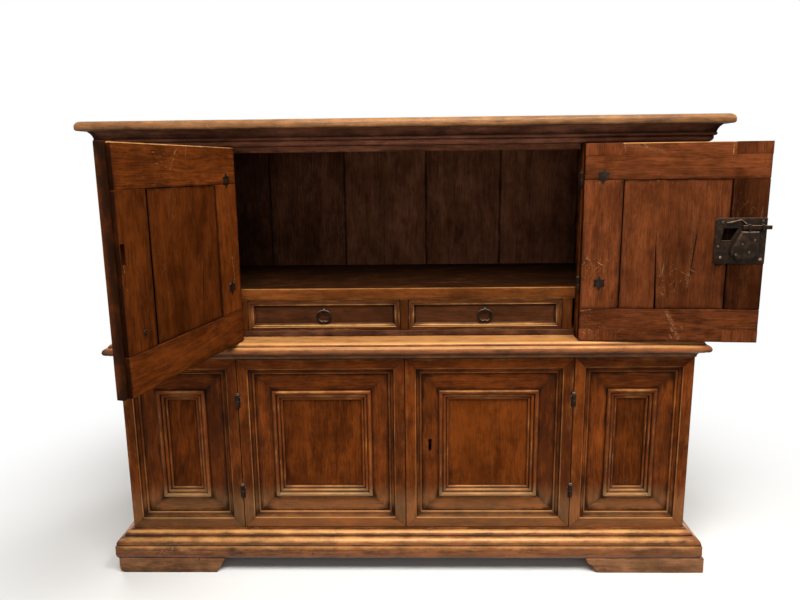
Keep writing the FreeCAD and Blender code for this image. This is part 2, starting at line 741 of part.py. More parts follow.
def build_upper(nodes):
    irons = hinges(upper_hinge_x, z_upper, y_upper, upper_hinge_heights)
    left = door(upper_hinge_x, left_free_x, z_upper, z_cornice, y_upper, left_board_joints, meeting_rebate)
    right = door(upper_hinge_x, right_free_x, z_upper, z_cornice, y_upper, right_board_joints)
    post = hung_post(fixed_panel(upper_hinge_x, z_upper, z_cornice, y_upper), irons)
    strike_x, strike_z = left_free_x + meeting_rebate + strike_inset, z_upper + lock_height + lock_bolt_rise
    strike = box((strike_x, y_upper_inside - strike_depth, strike_z - strike_tall / 2),
                 (strike_x + strike_width, y_upper_inside, strike_z + strike_tall / 2))
    pocket = sheet(pocket_points(), y_upper_inside - pocket_depth, pocket_depth)
    key_slot = keyhole(right_free_x, z_upper + lock_height, y_upper)
    leaves = (carved(hung_door(left, irons), [strike]), carved(hung_door(right, irons), [key_slot, pocket]))
    build_stage(nodes, "upper", leaves, post, upper_hinge_x, y_upper, (left_door_open, right_door_open))
    for part, shapes in upper_lock().items():
        nodes["upper_lock_" + part] = swung(shapes, upper_hinge_x, y_upper, right_door_open)
    return post


def build():
    nodes = {}
    build_case(nodes)
    posts = (build_lower(nodes), build_upper(nodes))
    nodes["fixed_panel_boards"] = [shape for post in posts for shape in both_hands(post["board"])]
    nodes["hinge_pintles"] = [shape for post in posts for shape in both_hands(post["pintles"])]
    for part, shapes in drawer().items():
        nodes["right_drawer_" + part] = shapes
        nodes["left_drawer_" + part] = handed("left", shapes)
    return nodes


os.makedirs("parts", exist_ok=True)
for node, solids in build().items():
    pieces = [solid for shape in solids for solid in shape.Solids]
    shape = pieces[0] if len(pieces) == 1 else Part.makeCompound(pieces)
    shape.exportStep("parts/" + node + ".step")
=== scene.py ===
"""A walnut credenza with open upper doors: its pieces, its finishes and a plain studio stage."""
import json
from collections import namedtuple
from contextlib import contextmanager
from math import atan, copysign, cos, pi, radians, sin

import bmesh
import bpy
from bpy.props import FloatProperty, FloatVectorProperty, PointerProperty
from mathutils import Matrix, Vector


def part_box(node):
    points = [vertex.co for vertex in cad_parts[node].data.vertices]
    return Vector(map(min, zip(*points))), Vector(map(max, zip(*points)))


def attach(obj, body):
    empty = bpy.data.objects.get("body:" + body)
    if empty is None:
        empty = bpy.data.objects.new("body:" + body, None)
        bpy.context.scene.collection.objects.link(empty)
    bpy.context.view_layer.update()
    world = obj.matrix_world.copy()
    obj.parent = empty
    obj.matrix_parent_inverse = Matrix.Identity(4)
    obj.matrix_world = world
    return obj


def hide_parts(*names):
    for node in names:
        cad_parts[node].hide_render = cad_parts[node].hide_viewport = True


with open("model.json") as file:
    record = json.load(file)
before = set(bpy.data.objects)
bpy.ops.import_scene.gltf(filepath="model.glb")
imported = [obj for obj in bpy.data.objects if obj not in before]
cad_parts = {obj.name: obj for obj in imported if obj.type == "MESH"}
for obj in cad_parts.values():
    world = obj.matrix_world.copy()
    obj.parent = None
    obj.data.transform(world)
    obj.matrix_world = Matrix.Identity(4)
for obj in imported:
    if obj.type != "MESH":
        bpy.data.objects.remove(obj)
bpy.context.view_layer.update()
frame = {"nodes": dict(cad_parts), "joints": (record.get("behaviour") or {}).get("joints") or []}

bl_info = {
    "name": "Walnut Credenza",
    "version": (1, 0, 0),
    "blender": (4, 5, 0),
    "location": "3D View > Sidebar > Credenza",
    "description": "Models a two-stage walnut credenza round its packed frame",
    "category": "Object",
}

# Planes and levels of the case, in metres, taken from the frame
inner_half, half_width = [corner.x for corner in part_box("upper_right_side")]
y_lower, y_lower_inside = [corner.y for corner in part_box("lower_right_panel_frame")]
y_upper, y_upper_inside = [corner.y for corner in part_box("upper_right_panel_frame")]
y_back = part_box("upper_back")[1].y
z_plinth, z_lower = [corner.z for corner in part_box("plinth")]
z_mid, z_upper = [corner.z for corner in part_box("mid_moulding")]
z_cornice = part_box("cornice")[0].z
z_top, z_summit = [corner.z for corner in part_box("top")]
stage_feet = {"lower": z_lower, "upper": z_upper}
stage_insides = {"lower": y_lower_inside, "upper": y_upper_inside}
sides = ("left", "right")

# Sagitta of a quarter round as a share of its chord
quarter = 0.2071
arc_steps = 6

# Longest stretch of a moulding between two cuts
stretch = 0.03

# How dark a place is below zero, from dirt and from painted shade in hollows, and how light above zero, from
# wear and from painted highlight on crests and faces that look up
# The deepest level is painted black, as shade deep in holes, cracks and gaps
deep_shade = -2.0
grimy_and_shaded = -1.0
less_grimy_and_shaded = -0.75
dull = -0.5
plain = 0.0
rubbed = 0.5
bright = 1.0

# How much lighter the crests of panel mouldings are where they look up: wear, and a painted highlight of the
# light from above
ledge_wear_and_highlight = 1.5

# Distance to a mitre on pieces that have none
no_joint = 1.0


def linear(red, green, blue):
    """A colour given in screen values from 0 to 255, as the linear values that shaders use."""
    shares = [value / 255 for value in (red, green, blue)]
    return tuple(s / 12.92 if s <= 0.04045 else ((s + 0.055) / 1.055) ** 2.4 for s in shares)


def number(name, description, default, **settings):
    return FloatProperty(name=name, description=description, default=default, **settings)


def length(name, description, default):
    return number(name, description, default, unit="LENGTH", precision=4)


def colour(name, description, red, green, blue):
    return FloatVectorProperty(name=name, description=description, subtype="COLOR", size=3, min=0, max=1,
                               default=linear(red, green, blue))


class CredenzaSizes(bpy.types.PropertyGroup):
    """Sizes of the sections and the wear"""
    edge_round: length("Edge round", "Rounding of board edges", 0.0015)
    fillet: length("Fillet", "Small square member between mouldings", 0.0025)
    base_ovolo: length("Base ovolo", "Large round of the base moulding", 0.020)
    base_foot: length("Base foot", "How far the base moulding's top stands out", 0.006)
    mid_cove: length("Middle cove", "Hollow under the middle moulding", 0.016)
    mid_nose: length("Middle nose", "Height of the middle moulding's bull nose", 0.022)
    mid_round: length("Middle round", "Quarter round over the bull nose", 0.011)
    cornice_ovolo: length("Cornice ovolo", "Lower round of the cornice", 0.0135)
    cornice_bead: length("Cornice bead", "Bead in the middle of the cornice", 0.008)
    top_nose: length("Top nose", "Rounding of the top board's upper edge", 0.015)
    top_under: length("Top under edge", "Rounding of the top board's lower edge", 0.006)
    band_width: length("Band", "Flat border round a panel", 0.032)
    step_width: length("Step", "Small moulding inside the border", 0.017)
    field_width: length("Field", "Sunk border between the two mouldings", 0.054)
    field_depth: length("Field depth", "How deep the sunk border lies", 0.012)
    moulding_lip: length("Moulding lip", "How far the raised moulding laps the field", 0.003)
    moulding_width: length("Moulding width", "Width of the raised moulding's three beads", 0.032)
    ridge_depth: length("Ridge depth", "Depth of the raised moulding's highest bead", 0.003)
    ridge_drop: length("Ridge drop", "Step from one bead to the next", 0.0045)
    board_depth: length("Board depth", "Depth of the boards inside the panels", 0.018)
    case_wear: length("Case wear", "Unevenness of the top and the mouldings", 0.0008)
    door_wear: length("Door wear", "Unevenness of the doors and panels", 0.0004)


class CredenzaColours(bpy.types.PropertyGroup):
    """Light and dark figure of each wood, and the colours of wear and painted highlight, dirt and painted
    shade, the floor's painted reflection, irons and floor
    """
    # Bared wood, which also serves as the painted highlight on crests and faces that look up
    worn_and_highlit: colour("Worn wood", "Wood where the finish is rubbed through", 202, 146, 84)
    scar: colour("Scars", "Scratched wood", 178, 128, 88)
    # Painted reflection of the pale floor on the lower stage's wood
    floor_reflection: colour("Faded wood", "Wood that washed floors have paled", 214, 177, 124)
    # Dark colour of dirt in hollows, which also serves as the painted shade there
    grime_and_shade: colour("Grime", "Wax and dirt in hollows", 14, 7, 4)
    # Light iron, which also serves as the painted highlight where iron looks up
    iron_polish_and_highlight: colour("Iron, bright", "Iron that hands and keys polish", 138, 112, 93)
    iron_light: colour("Iron, light", "Rubbed iron", 43, 29, 20)
    iron_dark: colour("Iron, dark", "Old dark iron", 13, 8, 5)
    floor: colour("Floor", "Plain pale floor", 226, 224, 220)


# Woods: where each is seen, and the light and the dark of its figure
woods = {
    "top": ("the top board", (122, 82, 50), (78, 50, 29)),
    "cornice": ("the cornice", (110, 68, 50), (60, 35, 26)),
    "panel": ("the doors and panels outside", (116, 56, 17), (64, 27, 7)),
    "inside": ("the door frames", (110, 57, 29), (53, 25, 11)),
    "left_inside": ("the upper left door's inside", (108, 52, 17), (50, 22, 6)),
    "drawer": ("the drawer fronts", (92, 50, 25), (48, 25, 11)),
    "back": ("the case's inside", (138, 88, 62), (82, 50, 35)),
    "shelf": ("the shelf and partitions", (105, 57, 22), (66, 33, 11)),
    "base": ("the base and middle mouldings", (126, 72, 38), (68, 35, 17)),
    "foot": ("the feet", (150, 105, 72), (92, 63, 43)),
    "side": ("the case's sides", (116, 64, 30), (68, 33, 13)),
}
for wood_name, (use, *shades) in woods.items():
    for shade, values in zip(("light", "dark"), shades):
        label = f"{wood_name}, {shade}".replace("_", " ").capitalize()
        CredenzaColours.__annotations__[f"{wood_name}_{shade}"] = colour(
            label, f"{shade.capitalize()} figure of {use}", *values)


class CredenzaStage(bpy.types.PropertyGroup):
    """Camera and lamps of the studio"""
    key_power: number("Key lamp", "Power of the lamp overhead", 165, unit="POWER")
    fill_power: number("Fill lamp", "Power of the front lamp", 22, unit="POWER")
    back_power: number("Back lamps", "Power of each lamp behind", 60, unit="POWER")
    ambient: number("Ambient", "Strength of the even light round the room", 0.12)
    camera_place: FloatVectorProperty(name="Camera", description="Place of the camera", subtype="XYZ",
                                      unit="LENGTH", default=(0.0259, -2.0734, 1.225))
    camera_pitch: number("Camera pitch", "How far the camera looks down", radians(10.3), subtype="ANGLE")
    camera_yaw: number("Camera yaw", "How far the camera looks to the left", radians(1.16), subtype="ANGLE")
    camera_roll: number("Camera roll", "How far the camera leans", radians(0.65), subtype="ANGLE")
    camera_lens: number("Camera lens", "Focal length in millimetres", 28.48)
    camera_shift: number("Camera shift", "How far the picture is shifted up", -0.0217, precision=4)


def sizes():
    return bpy.context.scene.credenza_sizes


def colours():
    return bpy.context.scene.credenza_colours


# Selecting and editing

def select_only(piece):
    bpy.ops.object.select_all(action="DESELECT")
    piece.select_set(True)
    bpy.context.view_layer.objects.active = piece


@contextmanager
def editing(piece):
    """Edit mode on this piece alone, with nothing selected at first."""
    select_only(piece)
    bpy.ops.object.mode_set(mode="EDIT")
    bpy.ops.mesh.select_all(action="DESELECT")
    yield
    bpy.ops.object.mode_set(mode="OBJECT")


# In edit mode

def pick(kind, test):
    """Selects the vertices, edges or faces that pass the test, and nothing else."""
    bpy.ops.mesh.select_mode(type=kind)
    bpy.ops.mesh.select_all(action="DESELECT")
    data = bpy.context.edit_object.data
    mesh = bmesh.from_edit_mesh(data)
    for element in {"VERT": mesh.verts, "EDGE": mesh.edges, "FACE": mesh.faces}[kind]:
        if test(element):
            element.select_set(True)
    mesh.select_flush_mode()
    bmesh.update_edit_mesh(data)


def pick_all():
    bpy.ops.mesh.select_all(action="SELECT")


def extrude(run):
    bpy.ops.mesh.extrude_region_move(TRANSFORM_OT_translate={"value": run})


def ease(offset):
    """Rounds the selected edges."""
    bpy.ops.mesh.bevel(offset=offset, segments=2, affect="EDGES")


def turn_outward():
    """Merges doubles and points every face outwards."""
    bpy.ops.mesh.select_mode(type="VERT")
    pick_all()
    bpy.ops.mesh.remove_doubles(threshold=0.000005)
    bpy.ops.mesh.normals_make_consistent(inside=False)


def cut_lengths(axis):
    """Cuts the long edges along an axis into short stretches."""
    def along(edge):
        run = edge.verts[1].co - edge.verts[0].co
        return abs(run[axis]) > 0.999 * run.length

    mesh = bmesh.from_edit_mesh(bpy.context.edit_object.data)
    longest = max((edge.calc_length() for edge in mesh.edges if along(edge)), default=0)
    cuts = int(longest / stretch)
    if cuts > 0:
        pick("EDGE", lambda edge: along(edge) and edge.calc_length() > longest * 0.4)
        bpy.ops.mesh.subdivide(number_cuts=cuts)


# Whole pieces

def primitive(add, scale=(1, 1, 1), **settings):
    """A new primitive from its add operator, with its place, turn and size put into its mesh."""
    bpy.ops.object.select_all(action="DESELECT")
    add(**settings)
    piece = bpy.context.active_object
    piece.scale = scale
    bpy.ops.object.transform_apply(location=True, rotation=True, scale=True)
    return piece


def joined(pieces, name):
    """Several pieces as one object."""
    select_only(pieces[0])
    for piece in pieces:
        piece.select_set(True)
    if len(pieces) > 1:
        bpy.ops.object.join()
    pieces[0].name = name
    pieces[0].data.name = name
    return pieces[0]


def copied(piece):
    """A copy with its own mesh."""
    twin = piece.copy()
    twin.data = piece.data.copy()
    bpy.context.scene.collection.objects.link(twin)
    return twin


def apply_modifier(piece, kind, **settings):
    modifier = piece.modifiers.new(kind.lower(), kind)
    for name, value in settings.items():
        setattr(modifier, name, value)
    select_only(piece)
    bpy.ops.object.modifier_apply(modifier=modifier.name)


def weather(piece, depth, spread):
    """Makes a surface gently uneven, as old planed wood and hammered iron are."""
    texture = bpy.data.textures.new("unevenness", "CLOUDS")
    texture.noise_scale = spread
    texture.noise_depth = 2
    apply_modifier(piece, "DISPLACE", texture=texture, texture_coords="LOCAL", strength=depth, mid_level=0.5)
    bpy.data.textures.remove(texture)


def carve(piece, cutters):
    """Cuts each cutter out of the piece."""
    for cutter in cutters:
        apply_modifier(piece, "BOOLEAN", operation="DIFFERENCE", solver="EXACT", object=cutter)
        bpy.data.objects.remove(cutter)


def corners(places):
    """Lowest and highest corner of the box round some places."""
    return [Vector(end(place[axis] for place in places) for axis in range(3)) for end in (min, max)]


def meet(first, second):
    """Whether the boxes of two pieces overlap."""
    (low_a, high_a), (low_b, high_b) = [corners([vertex.co for vertex in piece.data.vertices])
                                        for piece in (first, second)]
    return all(low_a[axis] < high_b[axis] and low_b[axis] < high_a[axis] for axis in range(3))


def carve_boards(boards, cutters):
    """Cuts each cutter out of the boards that it meets."""
    for board in boards:
        carve(board, [copied(cutter) for cutter in cutters if meet(board, cutter)])
    for cutter in cutters:
        bpy.data.objects.remove(cutter)


def finish(pieces, name, body, slot, material, *nodes, angle=35):
    """Joins, smooths and finishes pieces, and sets them on their body in place of the frame's nodes."""
    piece = joined(pieces, name)
    select_only(piece)
    bpy.ops.object.shade_smooth_by_angle(angle=radians(angle))
    piece.data.materials.clear()
    piece.data.materials.append(bpy.data.materials[material])
    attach(piece, body)
    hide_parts(*nodes)


# Sections and looks

def drawn_section(steps):
    """Points (a, b, soil) of a section; a step (a, b, soil, bow, crest) ends an arc that bows to its left."""
    points = [steps[0][:3]]
    for step in steps[1:]:
        if len(step) == 3:
            points.append(step)
            continue
        start, end, bow, crest = points[-1], step[:3], step[3], step[4]
        half_turn = 2 * atan(2 * abs(bow))
        run = (end[0] - start[0], end[1] - start[1])
        for count in range(1, arc_steps + 1):
            share = count / arc_steps
            turn = half_turn * (2 * share - 1)
            along = 0.5 + sin(turn) / (2 * sin(half_turn))
            lift = copysign((cos(turn) - cos(half_turn)) / (2 * sin(half_turn)), bow)
            level = start[2] + (end[2] - start[2]) * share
            swell = 1 - (2 * share - 1) ** 2
            soil = level + (crest - (start[2] + end[2]) / 2) * swell
            points.append((start[0] + run[0] * along - run[1] * lift,
                           start[1] + run[1] * along + run[0] * lift, soil))
    return points


def nearest_soil(section):
    """Soil of the section point that is nearest to (a, b)."""
    known = {}

    def soil(a, b):
        key = (round(a, 5), round(b, 5))
        if key not in known:
            known[key] = min(section, key=lambda point: (point[0] - a) ** 2 + (point[1] - b) ** 2)[2]
        return known[key]

    return soil


class Grain:
    """Hands out a place in the timber for each board, so that no two boards look alike."""
    count = 0

    @classmethod
    def next_board(cls):
        cls.count += 1
        return Vector((0.37 * cls.count, 2.31 * cls.count, 1.73 * cls.count))


def mark(piece, look, tone=0.0):
    """Stores grain coordinates and wear (level, distance to a mitre, tone) on every face corner; the level is
    dark for dirt and painted shade, light for wear and painted highlight.

    look(face) gives a function of the place that returns grain, soil and distance; tone darkens below zero.
    """
    mesh = piece.data
    mesh.attributes.new("grain", "FLOAT_VECTOR", "CORNER")
    mesh.attributes.new("wear", "FLOAT_VECTOR", "CORNER")
    grain, wear = mesh.attributes["grain"], mesh.attributes["wear"]
    for face in mesh.polygons:
        read = look(face)
        for corner in face.loop_indices:
            place = mesh.vertices[mesh.loops[corner].vertex_index].co
            along, soil, joint = read(place)
            grain.data[corner].vector = along
            wear.data[corner].vector = (soil, joint, tone)


def wear_and_highlight_above(level, normal, rub):
    """A level raised on faces that look up, by wear and by a painted highlight of the light from above; the
    darkest levels, in hollows, stay as they are.
    """
    return level if level < grimy_and_shaded * 0.8 else level + rub * max(0.0, normal.z - 0.15)


def paint_deep_shade(cutter):
    """Marks a cutter so that what it leaves is painted black, as shade deep inside a hole or crack."""
    offset = Grain.next_board()
    mark(cutter, lambda face: lambda place: (place + offset, deep_shade, no_joint))
    return cutter


# Forms

def block(low, high, rounding=0.0006):
    """A squared piece with eased edges."""
    low, high = Vector(low), Vector(high)
    piece = primitive(bpy.ops.mesh.primitive_cube_add, high - low, size=1, location=(low + high) / 2)
    with editing(piece):
        pick_all()
        ease(rounding)
    return piece


def plank(low, high, along, edge_soil=dull, face_soil=plain, thin_soil=None, rim=0.008, rounding=None,
          tone=0.0, arris_soil=rubbed):
    """A board with rounded edges and a border round each face at a level of its own, darker by default, its
    grain along one axis.

    face_soil is a level, or a function of a face's normal; thin_soil is the level of the board's edges and
    arris_soil that of its upper arrises, lightened by wear and a painted highlight.
    """
    low, high = Vector(low), Vector(high)
    piece = block(low, high, rounding or sizes().edge_round)
    with editing(piece):
        pick("FACE", lambda face: min(edge.calc_length() for edge in face.edges) > 2.5 * rim)
        bpy.ops.mesh.inset(thickness=rim, use_individual=True)
    across = [axis for axis in range(3) if axis != along]
    size = high - low
    thin = min(range(3), key=lambda axis: size[axis])
    offset = Grain.next_board()

    def look(face):
        soil = face_soil(face.normal) if callable(face_soil) else face_soil
        side_face = thin_soil is not None and abs(face.normal[thin]) < 0.5
        # Eased edges that look up take a lighter level: wear, and a painted highlight of the light from above
        arris = edge_soil > grimy_and_shaded and 0.2 < face.normal.z < 0.95

        def read(place):
            gap = sorted(min(place[axis] - low[axis], high[axis] - place[axis]) for axis in range(3))[1]
            grain = Vector((place[along], place[across[0]], place[across[1]])) + offset
            if arris:
                return grain, arris_soil, no_joint
            if side_face:
                return grain, thin_soil, no_joint
            return grain, edge_soil if gap < rim * 0.9 else soil, no_joint
        return read

    mark(piece, look, tone)
    return piece


def bordered(low, high, section, rub=0.9):
    """A mitred border on the front: a rectangle inset ring by ring along its section of (inward, y, soil)."""
    inward, y = section[0][:2]
    middle = Vector(((low.x + high.x) / 2, (low.z + high.z) / 2))
    spans = (high.x - low.x - 2 * inward, high.z - low.z - 2 * inward, 1)
    piece = primitive(bpy.ops.mesh.primitive_plane_add, spans, size=1, location=(middle.x, y, middle.y),
                      rotation=(pi / 2, 0, 0))
    with editing(piece):
        pick("FACE", lambda face: True)
        for start, end in zip(section, section[1:]):
            step = end[0] - start[0]
            if step < 0.00001:
                extrude((0, end[1] - start[1], 0))
            else:
                bpy.ops.mesh.inset(thickness=step, depth=start[1] - end[1])
        pick("FACE", lambda face: (face.calc_center_median().xz - middle).length < 0.00001)
        bpy.ops.mesh.delete(type="ONLY_FACE")
        pick("EDGE", lambda edge: edge.is_boundary)
        bpy.ops.mesh.bridge_edge_loops()
        cut_lengths(0)
        cut_lengths(2)
        turn_outward()
    soil = nearest_soil(section)
    offsets = [Grain.next_board() for side in range(4)]

    def gaps(place):
        return (place.x - low.x, high.x - place.x, place.z - low.z, high.z - place.z)

    def look(face):
        ways = gaps(face.center)
        side = ways.index(min(ways))

        def read(place):
            reach = gaps(place)
            gap = reach[side]
            along = place.z if side < 2 else place.x
            end = min(reach[2:]) if side < 2 else min(reach[:2])
            level = soil(gap, place.y)
            # Faces that look down are kept from the darkest dirt and painted shade; faces that look up are
            # lightened by wear and a painted highlight
            level = max(level, dull) if face.normal.z < -0.3 else wear_and_highlight_above(level, face.normal, rub)
            return Vector((along, gap, place.y)) + offsets[side], level, end - gap
        return read

    mark(piece, look)
    return piece


def wrapped(y_front, section, front_inner=None, side_inner=None, rub=0.7, one_board=False):
    """A moulding round front and sides: a plan raised ring by ring along its section of (outward, z, soil).

    one_board gives the upper face a single board's grain, with no mitres.
    """
    centre = Vector((0, y_back, 0))

    def spans(outward):
        return 2 * (half_width + outward), 2 * (y_back - y_front + outward)

    outward, z = section[0][:2]
    piece = primitive(bpy.ops.mesh.primitive_plane_add, (*spans(outward), 1), size=1,
                      location=(0, y_back, z))
    with editing(piece):
        pick("FACE", lambda face: True)
        for start, end in zip(section, section[1:]):
            extrude((0, 0, end[1] - start[1]))
            (old_x, old_y), (new_x, new_y) = spans(start[0]), spans(end[0])
            bpy.ops.transform.resize(value=(new_x / old_x, new_y / old_y, 1), center_override=centre)
        if front_inner:
            hollow_out(section, front_inner, side_inner, y_front)
        pick_all()
        bpy.ops.mesh.bisect(plane_co=centre, plane_no=(0, 1, 0), use_fill=True, clear_outer=True)
        cut_lengths(0)
        cut_lengths(1)
        turn_outward()
    soil = nearest_soil(section)
    offsets = [Grain.next_board() for side in range(3)]

    def ways(place):
        return (y_front - place.y, place.x - half_width, -place.x - half_width)

    def look(face):
        reach = ways(face.center)
        side = 0 if one_board and face.normal.z > 0.9 else reach.index(max(reach))

        def read(place):
            reach = ways(place)
            outward = reach[side]
            along = place.x if side == 0 else place.y
            end = max(reach[1:]) if side == 0 else reach[0]
            # Faces that look up are lightened by wear and by a painted highlight
            level = wear_and_highlight_above(soil(max(reach), place.z), face.normal, rub)
            joint = no_joint if one_board else outward - end
            return Vector((along, outward, place.z)) + offsets[side], level, joint
        return read

    mark(piece, look)
    return piece


def hollow_out(section, front_inner, side_inner, y_front):
    """In edit mode, opens a wrapped moulding's middle: both end faces are inset and the holes bridged."""
    depth = 2 * (y_back - y_front - side_inner)
    wanted = 2 * (y_back - y_front - front_inner)
    for outward, z in (section[0][:2], section[-1][:2]):
        pick("FACE", lambda face: abs(face.normal.z) > 0.9 and abs(face.calc_center_median().z - z) < 0.00001
             and face.calc_area() > half_width * y_back)
        bpy.ops.mesh.inset(thickness=outward + side_inner)
        bpy.ops.transform.resize(value=(1, wanted / depth, 1), center_override=(0, y_back, z))
        bpy.ops.mesh.delete(type="FACE")
    pick("EDGE", lambda edge: edge.is_boundary)
    bpy.ops.mesh.bridge_edge_loops()


def cut_shape(points, y, thickness):
    """A flat shape drawn point by point (x, z) at y, then thickened backwards."""
    piece = primitive(bpy.ops.mesh.primitive_plane_add, size=0.001)
    spots = [Vector((point[0], y, point[1])) for point in points]
    with editing(piece):
        bpy.ops.mesh.select_mode(type="VERT")
        pick_all()
        bpy.ops.mesh.merge(type="CENTER")
        bpy.ops.transform.translate(value=spots[0])
        for start, end in zip(spots, spots[1:]):
            bpy.ops.mesh.extrude_vertices_move(TRANSFORM_OT_translate={"value": end - start})
        pick_all()
        bpy.ops.mesh.edge_face_add()
        extrude((0, thickness, 0))
        turn_outward()
    return piece


def rod(radius, start, end, sides=16, rounding=0.0006):
    """A round bar with eased ends."""
    start, end = Vector(start), Vector(end)
    run = end - start
    piece = primitive(bpy.ops.mesh.primitive_cylinder_add, vertices=sides, radius=radius, depth=run.length,
                      location=(start + end) / 2, rotation=run.to_track_quat("Z", "Y").to_euler())
    with editing(piece):
        pick("FACE", lambda face: len(face.verts) == sides)
        bpy.ops.mesh.region_to_loop()
        ease(rounding)
    return piece


def torus(middle, major, minor, turn, segments):
    return primitive(bpy.ops.mesh.primitive_torus_add, location=middle, rotation=turn,
                     major_segments=segments, minor_segments=12, major_radius=major, minor_radius=minor)


# Doors, modelled closed and then swung open

def joint_of(body):
    return next(joint for joint in frame["joints"] if joint["child"] == body)


class Door:
    """One door: its body, its hinge and how far it stands open in the frame."""

    def __init__(self, stage, side):
        self.stage, self.side = stage, side
        self.body = f"{stage}_{side}_door"
        self.inward = 1 if side == "left" else -1
        joint = joint_of(self.body)
        self.hinge = Vector(joint["pos_m"])
        pivot = Matrix.Translation(self.hinge)
        open_turn = -radians(joint["range_deg"][0])
        self.opening = pivot @ Matrix.Rotation(open_turn, 4, Vector(joint["axis"])) @ pivot.inverted()
        self.closing = self.opening.inverted()
        self.inside_finish = f"walnut_{self.body}" if stage == "upper" else "walnut_door_inside"

    def box(self, part):
        """Lowest and highest corner of a part with the door closed."""
        node = frame["nodes"][f"{self.body}_{part}"]
        return corners([self.closing @ vertex.co for vertex in node.data.vertices])

    def swing(self, *pieces):
        for piece in pieces:
            piece.data.transform(self.opening)
            piece.data.update()


def all_doors():
    return [Door(stage, side) for stage in ("lower", "upper") for side in sides]


# Sections of the wood: crests are lightened with wear and painted highlight, hollows darkened with dirt and
# painted shade

def facing_section(y_front, y_end):
    """Band, bead, small cove, second bead and sunk field, as (inward, y, soil), from the outer back edge."""
    s = sizes()
    r, f, band = s.edge_round, s.fillet, s.band_width
    bead, foot = 0.0034, band + s.step_width
    second = foot - 0.0065
    end = foot + s.field_width
    field = y_front + s.field_depth
    # The bead at the band's inner edge is lightest at its crest, with wear and painted highlight; the coves
    # hold dirt and painted shade
    return drawn_section([
        (0, y_end, grimy_and_shaded), (0, y_front + r, dull), (r, y_front, rubbed, -quarter, plain),
        (band - bead, y_front, plain), (band, y_front + bead * 0.8, rubbed, -quarter, bright),
        (band, y_front + bead + f / 2, grimy_and_shaded), (second - 0.001, field - 1.6 * f, dull, 0.14, dull),
        (second, field - f, grimy_and_shaded), (foot - 0.001, field - f / 2, rubbed, -0.3, rubbed),
        (foot, field, grimy_and_shaded), (foot + 0.006, field, dull), (foot + 0.016, field, plain),
        (end - 0.016, field, plain), (end - 0.006, field, dull), (end, field, grimy_and_shaded), (end, y_end, grimy_and_shaded)])


def ridge_section(y_front):
    """Three beads that step down to the board panel, as (inward, y, soil)."""
    s = sizes()
    start = s.band_width + s.step_width + s.field_width - s.moulding_lip
    steps = [(start, y_front + s.field_depth, grimy_and_shaded)]
    y, foot = y_front + s.ridge_depth, start
    # Each bead's crest is lightened with wear and painted highlight, the hollow after it darkened with dirt
    # and painted shade
    for share in (0.40, 0.33, 0.27):
        head = foot + s.moulding_width * share
        steps.append((foot + 0.0004, y + 0.002, dull))
        steps.append((head - 0.0008, y + 0.002, dull, -0.3, rubbed))
        steps.append((head, y + 0.0045, grimy_and_shaded))
        y, foot = y + s.ridge_drop, head
    steps.append((start + s.moulding_width + 0.0004, y_front + s.board_depth, grimy_and_shaded))
    return drawn_section(steps)


def half_reach(node):
    """How far a moulding stands out from the case's side."""
    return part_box(node)[1].x - half_width


class CREDENZA_OT_finishes(bpy.types.Operator):
    """Mix the woods, the iron and their shared figure, wear and scratches"""
    bl_idname = "credenza.finishes"
    bl_label = "Finishes"

    def execute(self, context):
        make_finishes()
        return {"FINISHED"}


class CREDENZA_OT_top(bpy.types.Operator):
    """Model the top board with its thumbnail edge"""
    bl_idname = "credenza.top"
    bl_label = "Top board"

    def execute(self, context):
        s = sizes()
        out = half_reach("top")
        # The under edge is darkened with dirt and painted shade; the upper roll is lightened with wear and
        # painted highlight
        section = drawn_section([
            (out - s.top_under, z_top, grimy_and_shaded), (out, z_top + s.top_under, dull, -quarter, dull),
            (out, z_summit - s.top_nose, plain), (out - s.top_nose, z_summit, plain, -quarter, rubbed),
            (out - s.top_nose - 0.03, z_summit, plain)])
        piece = wrapped(y_upper, section, rub=0.35, one_board=True)
        weather(piece, s.case_wear, 0.09)
        finish([piece], "top_board", "case", "top_wood", "walnut_top", "top")
        return {"FINISHED"}


class CREDENZA_OT_cornice(bpy.types.Operator):
    """Model the cornice moulding under the top"""
    bl_idname = "credenza.cornice"
    bl_label = "Cornice"

    def execute(self, context):
        s = sizes()
        f, out = s.fillet, half_reach("cornice")
        ovolo_top = z_cornice + s.cornice_ovolo
        bead_out = s.cornice_ovolo + f / 2
        bead_foot, bead_top = ovolo_top + f, ovolo_top + f + s.cornice_bead
        # Hollows are darkened with dirt and painted shade; the bead's crest is lightened with wear and
        # painted highlight
        section = drawn_section([
            (f, z_cornice, grimy_and_shaded), (s.cornice_ovolo - f, ovolo_top, dull, -quarter, plain),
            (s.cornice_ovolo - f, bead_foot, grimy_and_shaded), (bead_out, bead_foot + 0.001, dull),
            (bead_out + 0.002, bead_top, plain, -0.25, rubbed), (bead_out + 0.001, bead_top + 0.001, grimy_and_shaded),
            (out - 0.001, z_top - 0.003, dull, 0.10, dull), (out, z_top, plain)])
        piece = wrapped(y_upper, section, y_upper_inside - y_upper, half_width - inner_half)
        weather(piece, s.case_wear * 0.6, 0.07)
        finish([piece], "cornice_moulding", "case", "cornice_wood", "walnut_cornice", "cornice")
        return {"FINISHED"}


